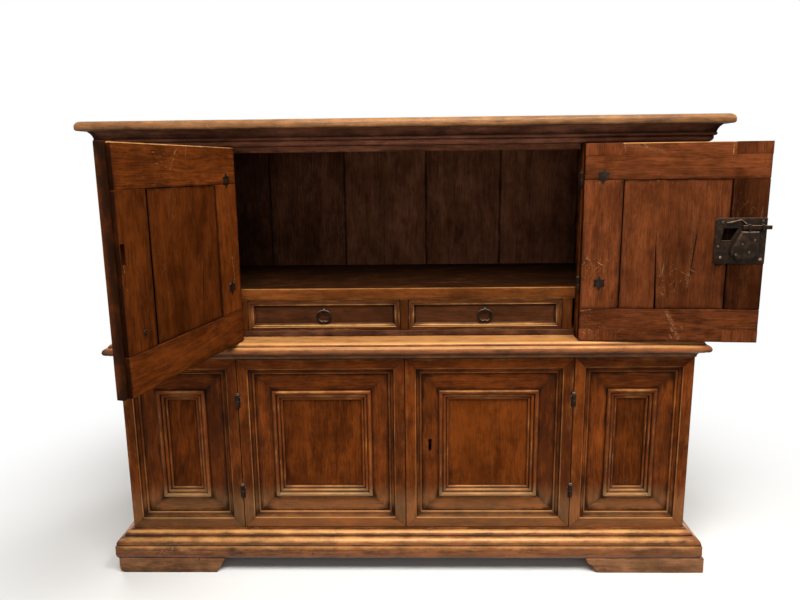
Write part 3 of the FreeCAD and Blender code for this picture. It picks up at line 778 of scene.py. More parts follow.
class CREDENZA_OT_mid_moulding(bpy.types.Operator):
    """Model the moulding between the two stages"""
    bl_idname = "credenza.mid_moulding"
    bl_label = "Middle moulding"

    def execute(self, context):
        s = sizes()
        f, out = s.fillet, half_reach("mid_moulding")
        nose_foot = z_upper - s.mid_round - s.mid_nose
        nose_back = out - s.mid_nose / 2
        step = nose_back - f
        board_lap = 0.026
        # The cove under the nose is darkened with dirt and painted shade; both rounds are lightest at their
        # upper edges, with wear and painted highlight
        section = drawn_section([
            (f, z_mid, grimy_and_shaded), (f, z_mid + f, dull), (f + s.mid_cove, nose_foot - f, dull, quarter, grimy_and_shaded),
            (f + s.mid_cove, nose_foot, plain), (nose_back, nose_foot, dull),
            (out, nose_foot + s.mid_nose / 2, plain, -quarter, dull),
            (nose_back, nose_foot + s.mid_nose, bright, -quarter, rubbed),
            (step, nose_foot + s.mid_nose, grimy_and_shaded), (step - s.mid_round, z_upper, rubbed, -quarter, bright)])
        front_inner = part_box("mid_board")[0].y - y_lower + board_lap
        piece = wrapped(y_lower, section, front_inner, half_width - inner_half)
        weather(piece, s.case_wear, 0.08)
        finish([piece], "middle_moulding", "case", "mid_wood", "walnut_middle", "mid_moulding")
        return {"FINISHED"}


class CREDENZA_OT_plinth(bpy.types.Operator):
    """Model the plinth with its two rolls over a flat board"""
    bl_idname = "credenza.plinth"
    bl_label = "Plinth"

    def execute(self, context):
        s = sizes()
        f, out = s.fillet, half_reach("plinth")
        upper_roll, front_inner, side_inner = 0.016, 0.070, 0.060
        ovolo_top = z_lower - upper_roll
        z_base = ovolo_top - s.base_ovolo
        groove = out - s.base_ovolo - f
        # The band's top edge and the rolls' crests are lightened with wear and painted highlight; the grooves
        # between them darkened with dirt and painted shade
        section = drawn_section([
            (out - 0.005, z_plinth, grimy_and_shaded), (out, z_plinth + 0.022, plain, -0.10, plain),
            (out, z_base - f, bright), (out - f, z_base - f, dull), (out - f, z_base, less_grimy_and_shaded),
            (out - s.base_ovolo, ovolo_top, dull, -quarter, rubbed),
            (groove, ovolo_top, less_grimy_and_shaded), (groove, ovolo_top + f, less_grimy_and_shaded),
            (s.base_foot, z_lower - f, dull, -quarter, rubbed), (s.base_foot, z_lower, dull)])
        piece = wrapped(y_lower, section, front_inner, side_inner, rub=1.0)
        weather(piece, s.case_wear * 1.4, 0.07)
        finish([piece], "plinth_moulding", "case", "base_wood", "walnut_base", "plinth")
        return {"FINISHED"}


class CREDENZA_OT_feet(bpy.types.Operator):
    """Model the two shaped front feet and the plain back feet"""
    bl_idname = "credenza.feet"
    bl_label = "Feet"

    def execute(self, context):
        front_feet()
        back_feet()
        return {"FINISHED"}


# Front feet, in metres: depth of the front board, rounding of the outer corner, and the slant and the lobe
# at the inner end
foot_depth = 0.058
foot_round = 0.016
foot_slant = 0.028
foot_lobe = 0.019


def foot_steps(side, width, tall):
    """Outline of a front foot, from its outer end inwards."""
    if side == "left":
        return [(0, tall, plain), (0, foot_round, plain), (foot_round, 0, plain, -quarter, plain),
                (width - foot_slant, 0, plain), (width, tall, plain)]
    f, shoulder = sizes().fillet, width - foot_lobe
    return [(0, tall, plain), (0, 0, plain), (width - 2 * foot_lobe - f, 0, plain),
            (shoulder - f, tall / 2 - f, plain, -quarter, plain), (shoulder, tall / 2 - f, plain),
            (shoulder, tall / 2, plain), (width, tall, plain, -quarter, plain)]


def front_feet():
    """Bracket feet: a shaped front board with a plain return behind its outer end."""
    for side, sign, tone in (("left", -1, 0.08), ("right", 1, -0.1)):
        node = f"front_{side}_foot"
        low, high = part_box(node)
        outer = max(abs(low.x), abs(high.x))
        outline = drawn_section(foot_steps(side, high.x - low.x, high.z))
        shape = cut_shape([(sign * (outer - a), b) for a, b, soil in outline], low.y, foot_depth)
        inner_cut, outer_cut = outer - foot_depth, outer - foot_round
        with editing(shape):
            for cut in (inner_cut, outer_cut):
                pick_all()
                bpy.ops.mesh.bisect(plane_co=(sign * cut, 0, 0), plane_no=(1, 0, 0))
            pick("FACE", lambda face: face.normal.y > 0.9
                 and inner_cut < abs(face.calc_center_median().x) < outer_cut)
            extrude((0, high.y - (low.y + foot_depth), 0))
            cut_lengths(0)
            turn_outward()
            pick("EDGE", lambda edge: edge.calc_face_angle(0) > radians(40))
            ease(sizes().edge_round)
        offset = Grain.next_board()

        def read(place):
            return Vector((place.x, place.z, place.y)) + offset, dull if place.z < 0.012 else plain, no_joint

        mark(shape, lambda face: read, tone)
        weather(shape, sizes().case_wear * 1.4, 0.06)
        finish([shape], f"{side}_bracket_foot", "case", "foot_wood", "walnut_foot", node)


def back_feet():
    low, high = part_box("back_feet")
    wide = 0.110
    feet = [plank((high.x - wide, low.y, 0), high, 0),
            plank((low.x, low.y, 0), (low.x + wide, high.y, high.z), 0)]
    finish(feet, "back_block_feet", "case", "foot_wood", "walnut_foot", "back_feet")


class CREDENZA_OT_case_boards(bpy.types.Operator):
    """Model the boards of the case: sides, floors, shelf, partitions, rail and backs"""
    bl_idname = "credenza.case_boards"
    bl_label = "Case boards"

    def execute(self, context):
        for node in ("lower_left_side", "lower_right_side", "upper_left_side", "upper_right_side"):
            board_piece(node, 2, "case_wood", "walnut_side")
        for node, tone in (("lower_floor", 0.0), ("mid_board", -0.5), ("top_rail", 0.0)):
            board_piece(node, 0, "inside_wood", "walnut_back", tone=tone)
        # The shelf's faces other than its front are painted dark as the shade inside the case; its edges are
        # lightened with wear and painted highlight
        board_piece("shelf", 0, "shelf_wood", "walnut_shelf", edge_soil=rubbed, arris_soil=bright,
                    face_soil=lambda normal: plain if normal.y < -0.9 else grimy_and_shaded)
        partition_boards()
        for node in ("lower_back", "upper_back"):
            back_boards(node)
        return {"FINISHED"}


def board_piece(node, along, slot, material, **looks):
    finish([plank(*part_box(node), along, **looks)], node + "_board", "case", slot, material, node)


def partition_boards():
    low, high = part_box("drawer_partitions")
    end, divider = 0.030, 0.025
    boards = [plank((left, low.y, low.z), (right, high.y, high.z), 2, rim=0.004)
              for left, right in ((-divider / 2, divider / 2), (low.x, low.x + end), (high.x - end, high.x))]
    finish(boards, "drawer_partition_boards", "case", "shelf_wood", "walnut_shelf", "drawer_partitions")


# Where the back's boards meet, and the tone of each board
back_joints = (-0.493, -0.219, 0.077, 0.347, 0.626)
back_tones = (-0.4, -0.35, -0.1, 0.0, 0.0, 0.05)


def back_boards(node):
    """Upright boards butted edge to edge."""
    low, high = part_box(node)
    edges = [low.x, *back_joints, high.x]
    boards = [plank((left, low.y, low.z), (right, high.y, high.z), 2, edge_soil=grimy_and_shaded * 0.8, rim=0.006,
                    tone=tone)
              for left, right, tone in zip(edges, edges[1:], back_tones)]
    finish(boards, node + "_boards", "case", "inside_wood", "walnut_back", node)


class CREDENZA_OT_fixed_panels(bpy.types.Operator):
    """Model the four fixed panels with their mitred frames, raised mouldings and boards"""
    bl_idname = "credenza.fixed_panels"
    bl_label = "Fixed panels"

    def execute(self, context):
        boards = []
        for stage in ("lower", "upper"):
            mouldings = []
            for side in sides:
                node = f"{stage}_{side}_panel_frame"
                low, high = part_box(node)
                border = facing(low, high, Door(stage, side))
                finish([border], node + "_border", "case", "panel_wood", "walnut_facing", node)
                mouldings.append(bordered(low, high, ridge_section(low.y), rub=ledge_wear_and_highlight))
                boards.append(sunk_board(low, high, fixed_tones[stage, side]))
            ridges = joined(mouldings, stage + "_fixed_ridges")
            weather(ridges, sizes().door_wear * 0.6, 0.04)
            finish([ridges], stage + "_fixed_ridges", "case", "moulding_wood", "walnut_ridge",
                   stage + "_panel_mouldings")
        finish(boards, "fixed_sunk_boards", "case", "panel_wood", "walnut_board", "fixed_panel_boards")
        return {"FINISHED"}


# Tones of the boards inside the panels
fixed_tones = {("lower", "left"): 0.0, ("lower", "right"): -0.42, ("upper", "left"): -0.1,
               ("upper", "right"): -0.2}
panel_tones = {"upper_left_door": -0.42, "upper_right_door": -0.25, "lower_left_door": -0.2,
               "lower_right_door": -0.28}
panel_rim = 0.046


def facing(low, high, door):
    """Mitred facing round a panel, cleared for the hinges between it and its neighbour."""
    border = bordered(low, high, facing_section(low.y, high.y))
    weather(border, sizes().door_wear, 0.06)
    carve(border, hinge_notches(door))
    return border


def sunk_board(low, high, tone):
    """The board inside a fixed panel's border."""
    s = sizes()
    inset, thickness = s.band_width + s.step_width + s.field_width, 0.010
    y = low.y + s.board_depth
    return plank((low.x + inset, y, low.z + inset), (high.x - inset, y + thickness, high.z - inset), 2,
                 edge_soil=grimy_and_shaded, rim=panel_rim, tone=tone)


hinge_heights = {"lower": (0.124, 0.415), "upper": (0.162, 0.462)}


def hinge_levels(stage):
    return [stage_feet[stage] + height for height in hinge_heights[stage]]


def hinge_notches(door):
    """Cutters that clear the hinge eyes along the meeting edges."""
    reach, tall, before = 0.007, 0.0231, 0.02
    x, y = door.hinge.x, door.hinge.y
    # The notches' faces are darkened with dirt and painted shade
    return [plank((x - reach, y - before, level - tall), (x + reach, y + reach, level + tall), 2,
                  edge_soil=grimy_and_shaded, face_soil=grimy_and_shaded, rounding=0.0005)
            for level in hinge_levels(door.stage)]


class CREDENZA_OT_doors(bpy.types.Operator):
    """Model the four doors closed, then swing each to where it stands"""
    bl_idname = "credenza.doors"
    bl_label = "Doors"

    def execute(self, context):
        for door in all_doors():
            door_facing(door)
            door_frame(door)
            door_panel(door)
        return {"FINISHED"}


def door_facing(door):
    """Mitred facing and raised moulding of one door."""
    low, high = door.box("facing")
    border = facing(low, high, door)
    if door.side == "right":
        carve(border, [keyhole_cutter(door)])
    door.swing(border)
    node = door.body + "_facing"
    finish([border], node + "_border", door.body, "panel_wood", "walnut_facing", node)
    ridge = bordered(low, high, ridge_section(low.y), rub=ledge_wear_and_highlight)
    weather(ridge, sizes().door_wear * 0.6, 0.04)
    door.swing(ridge)
    node = door.body + "_moulding"
    finish([ridge], node + "_ridges", door.body, "moulding_wood", "walnut_ridge", node)


keyhole_heights = {"lower": 0.281, "upper": 0.291}


def keyhole_cutter(door):
    """Slot with a round head through a right door, seen from its closed place."""
    low, high = door.box("facing")
    from_edge, side, drop, head_bow, through = 0.074, 0.0045, 0.032, -1.24, 0.06
    x, z = low.x + from_edge, stage_feet[door.stage] + keyhole_heights[door.stage]
    neck = z - 0.0047
    steps = [(x - side, z - drop, grimy_and_shaded), (x + side, z - drop, grimy_and_shaded), (x + side, neck, grimy_and_shaded),
             (x - side, neck, grimy_and_shaded, head_bow, grimy_and_shaded)]
    return paint_deep_shade(cut_shape(drawn_section(steps), low.y - 0.01, through))


# Tones of the upper doors' bottom rail, top rail, left stile and right stile, and the wear and painted
# highlight of their upper arrises
frame_tones = {"upper_left_door": (0.0, 0.05, 0.0, -0.3), "upper_right_door": (0.1, -0.08, -0.7, 0.2)}
frame_arris_highlights = (plain, bright, plain, plain)


def door_frame(door):
    """Rails and stiles behind the facing."""
    low, high = door.box("frame")
    panel_low, panel_high = door.box("panel")
    places = [((low.x, low.y, low.z), (high.x, high.y, panel_low.z), 0),
              ((low.x, low.y, panel_high.z), (high.x, high.y, high.z), 0),
              ((low.x, low.y, panel_low.z), (panel_low.x, high.y, panel_high.z), 2),
              ((panel_high.x, low.y, panel_low.z), (high.x, high.y, panel_high.z), 2)]
    tones = frame_tones.get(door.body, (0, 0, 0, 0))
    boards = [plank(*place, thin_soil=grimy_and_shaded, rounding=0.0022, tone=tone, arris_soil=arris)
              for place, tone, arris in zip(places, tones, frame_arris_highlights)]
    cutters = hinge_notches(door)
    if door.side == "right":
        cutters.append(keyhole_cutter(door))
    if door.stage == "upper":
        cutters.append(strike_cutter(high) if door.side == "left" else pocket_cutter())
    carve_boards(boards, cutters)
    if door.body == "upper_right_door":
        boards += lapped_ends(low, high, panel_low, panel_high)
    door.swing(*boards)
    node = door.body + "_frame"
    finish(boards, node + "_boards", door.body, "door_inside_wood", door.inside_finish, node)


def lapped_ends(low, high, panel_low, panel_high):
    """Ends of the stiles where they lap the rails, a hair proud of them."""
    proud, sunk, top_share, foot_share, shrunk = 0.0002, 0.004, 0.34, 0.36, 0.006
    top_lap = high.z - (high.z - panel_high.z) * top_share
    foot_lap = low.z + (panel_low.z - low.z) * foot_share
    ends = []
    for left, right in ((low.x, panel_low.x), (panel_high.x + shrunk, high.x)):
        for foot, head in ((top_lap, high.z), (low.z, foot_lap)):
            ends.append(plank((left, high.y - sunk, foot), (right, high.y + proud, head), 2, rim=0.003,
                              rounding=0.0006))
    return ends


# Free edge of the closed right upper door, and the middle of its lock
lock_edge = Door("upper", "right").box("facing")[0].x
lock_middle = z_upper + keyhole_heights["upper"]


def strike_cutter(high):
    """Mortise in the left door's edge that the lock's bolt shoots into."""
    inset, width, tall, depth, lift = 0.002, 0.014, 0.046, 0.009, 0.033
    x, z = high.x - inset, lock_middle + lift
    # The mortise's faces are darkened with dirt and painted shade
    return plank((x - width, high.y - depth, z - tall / 2), (x, high.y + depth, z + tall / 2), 2,
                 edge_soil=grimy_and_shaded * 1.3, face_soil=grimy_and_shaded * 1.3)


def on_lock(points):
    """Points (from the free edge, from the middle) of the open lock, as (x, z)."""
    return [(lock_edge + point[0], lock_middle + point[1]) for point in points]


def pocket_cutter():
    """Slanted opening beside the lock's cover, cut into the right door."""
    head, foot, depth = 0.036, 0.002, 0.011
    points = on_lock([(0.075, head), (0.114, head), (0.119, foot), (0.093, foot)])
    return paint_deep_shade(cut_shape(points, y_upper_inside - depth, 2 * depth))


# Cracks in the upper doors' boards: points (from the hinge edge, height, half width), bottom to top
door_cracks = {
    "upper_left_door": [[(0.196, 0.840, 0.0006), (0.192, 0.900, 0.0009), (0.186, 0.960, 0.0007),
                         (0.183, 1.030, 0.0002)]],
    "upper_right_door": [[(0.209, 0.822, 0.0030), (0.208, 0.860, 0.0026), (0.205, 0.930, 0.0018),
                          (0.203, 1.000, 0.0010), (0.202, 1.040, 0.0002)],
                         [(0.300, 0.905, 0.0002), (0.304, 0.960, 0.0013), (0.309, 1.010, 0.0012),
                          (0.314, 1.055, 0.0002)]]}

# Open joints round the doors' boards: at the hinge stile, at the free stile, at each rail
panel_gaps = {"upper_left_door": (0.0012, 0.0085, 0.0012), "upper_right_door": (0.0034, 0.0024, 0.0010)}
tight_gaps = (0.0004, 0.0004, 0.0004)


def crack_cutter(door, crack, y):
    """A crooked wedge along the grain of a board, cut from its inner face at y."""
    low, high = door.box("frame")
    x = high.x if door.side == "right" else low.x
    depth = 0.006
    near = [(x + door.inward * (away - half), z) for away, z, half in crack]
    far = [(x + door.inward * (away + half), z) for away, z, half in reversed(crack)]
    return paint_deep_shade(cut_shape(near + far, y - depth, 2 * depth))


def door_panel(door):
    """The board inside a door's frame, shrunk and cracked on the upper doors."""
    low, high = door.box("panel")
    at_hinge, at_edge, at_rails = panel_gaps.get(door.body, tight_gaps)
    left, right = (at_hinge, at_edge) if door.side == "left" else (at_edge, at_hinge)
    # The upper doors' boards have their edges, in the open joints, painted black as shade
    if door.stage == "upper":
        material, looks = door.inside_finish, {"edge_soil": dull, "rim": 0.010, "thin_soil": deep_shade}
    else:
        material, looks = "walnut_board", {"edge_soil": grimy_and_shaded * 0.8, "rim": panel_rim}
    board = plank((low.x + left, low.y, low.z + at_rails), (high.x - right, high.y, high.z - at_rails), 2,
                  tone=panel_tones[door.body], **looks)
    cutters = [crack_cutter(door, crack, high.y) for crack in door_cracks.get(door.body, ())]
    if door.body == "upper_right_door":
        cutters.append(pocket_cutter())
    carve_boards([board], cutters)
    door.swing(board)
    node = door.body + "_panel"
    finish([board], node + "_board", door.body, "panel_wood", material, node)


class CREDENZA_OT_drawers(bpy.types.Operator):
    """Model the two drawers with their moulded fronts and plain boxes"""
    bl_idname = "credenza.drawers"
    bl_label = "Drawers"

    def execute(self, context):
        for side in sides:
            drawer_front(side)
            drawer_box(side)
        return {"FINISHED"}


drawer_tones = {"left": -0.42, "right": -0.3}


def drawer_front(side):
    """A sunk board with a mitred moulding round it."""
    s = sizes()
    node = f"{side}_drawer_front"
    low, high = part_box(node)
    width, recess, r = 0.022, 0.009, s.edge_round
    flat, y = width / 2, low.y
    # The moulding's crests are lightened with wear and painted highlight, its hollows darkened with dirt and
    # painted shade
    section = drawn_section([
        (0, y + recess, grimy_and_shaded), (0, y + r, dull), (r, y, rubbed, -quarter, rubbed), (flat - r, y, plain),
        (flat, y + r, rubbed, -quarter, bright), (flat, y + s.fillet, grimy_and_shaded),
        (flat + width / 4, y + s.fillet + 0.001, dull, -0.2, bright),
        (width, y + recess, grimy_and_shaded, 0.12, dull)])
    border = bordered(low, high, section, rub=ledge_wear_and_highlight)
    board = plank((low.x, y + recess, low.z), high, 0, edge_soil=grimy_and_shaded, rim=0.030, tone=drawer_tones[side])
    finish([board, border], node + "_wood", f"{side}_drawer", "drawer_wood", "walnut_drawer", node)


def drawer_box(side):
    node = f"{side}_drawer_box"
    low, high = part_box(node)
    wall, rise, bottom = 0.012, 0.006, 0.008
    left, right, back = low.x + wall, high.x - wall, high.y - wall
    places = [(low, (left, high.y, high.z), 1), ((right, low.y, low.z), high, 1),
              ((left, back, low.z), (right, high.y, high.z), 0),
              ((left, low.y, low.z + rise), (right, back, low.z + rise + bottom), 0)]
    boards = [plank(*place, rim=0.003) for place in places]
    finish(boards, node + "_boards", f"{side}_drawer", "drawer_box_wood", "walnut_shelf", node)


# Irons, in metres
eye_radius = 0.0065
eye_height = 0.020
eye_gap = 0.0004
eye_round = 0.0012
pin_radius = 0.0035
cap_radius = 0.0052
cap_height = 0.0025
shank_reach = 0.052
shank_radius = 0.0042


def forged(pieces, name, body, *nodes, material="old_iron"):
    """Joins pieces of iron, hammers them a little and finishes them."""
    piece = joined(pieces, name)
    weather(piece, 0.0004, 0.012)
    # Faces that look up are marked lighter, for polish and painted highlight
    mark(piece, polished_and_highlit_above)
    finish([piece], name, body, "iron", material, *nodes, angle=40)


def polished_and_highlit_above(face):
    """Iron is lighter where it looks up: polish, and a painted highlight of the light from above."""
    level = bright * max(0.0, face.normal.z - 0.4) / 0.6
    return lambda place: (place, level, no_joint)


class CREDENZA_OT_hinges(bpy.types.Operator):
    """Forge the hinge eyes with their clenched stars, and the pins that they turn on"""
    bl_idname = "credenza.hinges"
    bl_label = "Hinges"

    def execute(self, context):
        pintles = []
        for door in all_doors():
            eyes = []
            for level in hinge_levels(door.stage):
                eyes += hinge_eye(door, level)
                pintles += pintle(door, level)
            door.swing(*eyes)
            forged(eyes, door.body + "_eyes", door.body, door.body + "_hinge_eyes")
        forged(pintles, "door_pintles", "case", "hinge_pintles")
        return {"FINISHED"}


def shank(door, middle, inward, clear):
    """A square bar from beside the pin to the wood's inner face; gives the bar and where it ends."""
    start = Vector((door.hinge.x, door.hinge.y, middle))
    end = Vector((door.hinge.x + inward * shank_reach, stage_insides[door.stage], middle))
    return rod(shank_radius, start + (end - start).normalized() * clear, end, 4), end


def hinge_eye(door, level):
    """Barrel, shank and clenched star of one hinge eye, on the closed door."""
    x, y = door.hinge.x, door.hinge.y
    barrel = rod(eye_radius, (x, y, level + eye_gap), (x, y, level + eye_height - eye_gap), 14, eye_round)
    bar, end = shank(door, level + eye_height / 2, door.inward, pin_radius + eye_gap)
    return [barrel, bar, clenched_star(end)]


# Points of a clenched star, turning from the top: angle in degrees and reach
star_points = ((0, 0.0220), (27, 0.0125), (57, 0.0185), (92, 0.0140), (122, 0.0190), (150, 0.0125),
               (176, 0.0225), (208, 0.0128), (243, 0.0185), (275, 0.0138), (304, 0.0195), (334, 0.0122))


def clenched_star(middle):
    """The shank's end, split and hammered into a plump star."""
    outline = [(middle.x + sin(radians(angle)) * reach, middle.z + cos(radians(angle)) * reach)
               for angle, reach in star_points]
    star = cut_shape(outline, middle.y, 0.0012)
    with editing(star):
        pick("FACE", lambda face: face.normal.y > 0.9)
        bpy.ops.mesh.inset(thickness=0.0025, depth=0.0010)
        bpy.ops.mesh.inset(thickness=0.0028, depth=0.0003)
        turn_outward()
    return star


def pintle(door, level):
    """Lower barrel, pin, cap and shank that a door hangs on."""
    x, y = door.hinge.x, door.hinge.y
    rim = level + eye_height + eye_gap
    barrel = rod(eye_radius, (x, y, level - eye_height), (x, y, level), 14, eye_round)
    pin = rod(pin_radius, (x, y, level), (x, y, rim), 12)
    cap = rod(cap_radius, (x, y, rim), (x, y, rim + cap_height), 14, 0.0010)
    bar, end = shank(door, level - eye_height / 2, -door.inward, pin_radius)
    return [barrel, pin, cap, bar]


class CREDENZA_OT_ring_pulls(bpy.types.Operator):
    """Forge the drawers' rings, each hung in a staple with a round plate"""
    bl_idname = "credenza.ring_pulls"
    bl_label = "Ring pulls"

    def execute(self, context):
        for side in sides:
            pivot = Vector(joint_of(side + "_ring")["pos_m"])
            pull = side + "_drawer_pull"
            forged(hanging_ring(pivot), side + "_ring_iron", side + "_ring", side + "_drawer_ring")
            forged(staple(pivot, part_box(pull)[1].y), side + "_staple", side + "_drawer", pull)
        return {"FINISHED"}


# How the ring's foot is pressed up: half width of each press, and its lift
ring_presses = ((0.0050, 0.0008), (0.0030, 0.0012), (0.0012, 0.0016))


def hanging_ring(pivot):
    """A broad ring, pressed up to a cusp at its foot, with a collar where it hangs."""
    radius, wire, collar, breadth = 0.018, 0.0030, 0.0034, 1.12
    middle = pivot - Vector((0, 0, radius))
    ring = torus(middle, radius, wire, (pi / 2, 0, 0), 48)
    with editing(ring):
        for half, lift in ring_presses:
            pick("VERT", lambda vertex: vertex.co.z < middle.z and abs(vertex.co.x - middle.x) < half)
            bpy.ops.transform.translate(value=(0, 0, lift))
        pick_all()
        bpy.ops.transform.resize(value=(breadth, 1, 1), center_override=middle)
    half_collar = Vector((0.004, 0, 0))
    return [ring, rod(collar, pivot - half_collar, pivot + half_collar)]


def staple(pivot, y_end):
    """A looped eye, its plate on the drawer's front and its shank through the wood."""
    half, side, plate, gap = 0.00125, 0.003, 0.009, 0.0040
    x, y, z = pivot
    y_panel = y + 0.007
    loop = torus(pivot, 0.0047, half, (0, pi / 2, 0), 24)
    widening = Matrix.Scale(2, 4, (1, 0, 0))
    loop.data.transform(Matrix.Translation(pivot) @ widening @ Matrix.Translation(-pivot))
    bar = block((x - side, y + gap, z - side), (x + side, y_end, z + side))
    disc = rod(plate, (x, y_panel - 0.0015, z), (x, y_panel, z), 20, 0.0012)
    return [loop, bar, disc]


class CREDENZA_OT_locks(bpy.types.Operator):
    """Forge the open lock of the right upper door, and finish the boxed lock below"""
    bl_idname = "credenza.locks"
    bl_label = "Locks"

    def execute(self, context):
        door = Door("upper", "right")
        # The spring, and the nails below, take the lighter iron: polish and painted highlight
        works = (("plate", lock_plate(), door.body, "old_iron"),
                 ("cover", lock_cover(), door.body, "old_iron"),
                 ("bolt", lock_bolt(), "upper_bolt", "old_iron"),
                 ("spring", lock_spring(), door.body, "polished_and_highlit_iron"))
        for part, pieces, body, material in works:
            door.swing(*pieces)
            forged(pieces, f"open_lock_{part}", body, f"upper_lock_{part}", material=material)
        nails = lock_nails()
        door.swing(*nails)
        forged(nails, "open_lock_nails", door.body, material="polished_and_highlit_iron")
        nail = dome(*left_door_nail, 0, 0.006)
        Door("upper", "left").swing(nail)
        forged([nail], "left_door_nail", "upper_left_door")
        for part in ("case", "bolt"):
            node = frame["nodes"][f"lower_lock_{part}"]
            node.data.materials.clear()
            node.data.materials.append(bpy.data.materials["old_iron"])
        return {"FINISHED"}


# Open lock, in metres: places are measured from the door's free edge and the lock's middle
plate_thickness = 0.0025
y_plate = y_upper_inside + plate_thickness
bolt_low = 0.033
bolt_high = 0.044
bolt_depth = 0.008
guide_gap = 0.0003
guide_wall = 0.003
guide_width = 0.006
guide_places = (0.010, 0.046)
cover_height = 0.010
plate_nails = ((0.118, 0.052), (0.012, 0.055), (0.118, -0.045), (0.012, -0.050), (0.127, -0.014))
left_door_nail = (-0.0749, -0.1501)
cover_rivets = ((0.034, 0.004), (0.066, -0.008), (0.047, -0.030), (0.082, -0.036))


def dome(a, b, lift, radius):
    """A hammered nail head on the door's inner face or on the lock."""
    x, z = on_lock([(a, b)])[0]
    y = y_upper_inside + lift
    return rod(radius, (x, y - 0.0005, z), (x, y + radius * 0.5, z), 12, radius * 0.42)


def lock_plate():
    """The nailed plate with its slanted pocket and the two loops that hold the bolt."""
    width, low, high, corner = 0.136, -0.063, 0.064, 0.006
    outline = [(0, low), (width - corner, low), (width, low + corner), (width, high - corner),
               (width - corner, high), (0, high)]
    plate = cut_shape(on_lock(outline), y_upper_inside, plate_thickness)
    with editing(plate):
        pick("FACE", lambda face: face.normal.y > 0.9)
        bpy.ops.mesh.region_to_loop()
        ease(0.0012)
    carve(plate, [pocket_cutter()])
    pieces = [plate]
    depth = bolt_depth + 2 * guide_gap
    under, over = bolt_low - guide_gap, bolt_high + guide_gap
    for place in guide_places:
        for foot, head, start in ((under - guide_wall, under, 0), (over, over + guide_wall, 0),
                                  (under, over, depth)):
            (x, z_foot), (x, z_head) = on_lock([(place, foot), (place, head)])
            pieces.append(block((x, y_plate + start, z_foot),
                                (x + guide_width, y_plate + depth + guide_wall, z_head)))
    return pieces


def lock_nails():
    """Nails that hold the plate, and rivets in the cover."""
    nails = [dome(a, b, plate_thickness, 0.0042) for a, b in plate_nails]
    return nails + [dome(a, b, plate_thickness + cover_height, 0.0032) for a, b in cover_rivets]


def lock_cover():
    """The raised shield over the works."""
    left, right, head = 0.022, 0.094, 0.046
    top, shoulder, foot, corner = 0.0272, -0.024, -0.053, 0.014
    outline = drawn_section([
        (left, top, plain), (left + head, top, plain), (right, shoulder, plain),
        (right, foot + corner, plain),
        (right - corner, foot, plain, -quarter, plain), (left + corner, foot, plain),
        (left, foot + corner, plain, -quarter, plain)])
    cover = cut_shape(on_lock(outline), y_plate, 0.007)
    with editing(cover):
        pick("FACE", lambda face: face.normal.y > 0.9)
        bpy.ops.mesh.inset(thickness=0.003, depth=0.0024)
        bpy.ops.mesh.inset(thickness=0.004, depth=0.0006)
        turn_outward()
    return [cover]


def lock_bolt():
    """The sliding bolt, its nose eased."""
    (tail, z_low), (nose, z_high) = on_lock([(-0.010, bolt_low), (0.066, bolt_high)])
    y = y_plate + guide_gap
    return [block((tail, y, z_low), (nose, y + bolt_depth, z_high), 0.0015)]


def lock_spring():
    """A bent strip that presses on the bolt."""
    anchor, knee, tip, thick = (0.108, 0.050), (0.070, 0.058), (0.054, bolt_high + guide_gap), 0.002
    strip = [anchor, knee, tip, (tip[0] - thick, tip[1] + thick), (knee[0], knee[1] + thick),
             (anchor[0], anchor[1] + thick)]
    return [cut_shape(on_lock(strip), y_plate, 0.007)]


# Shader nodes

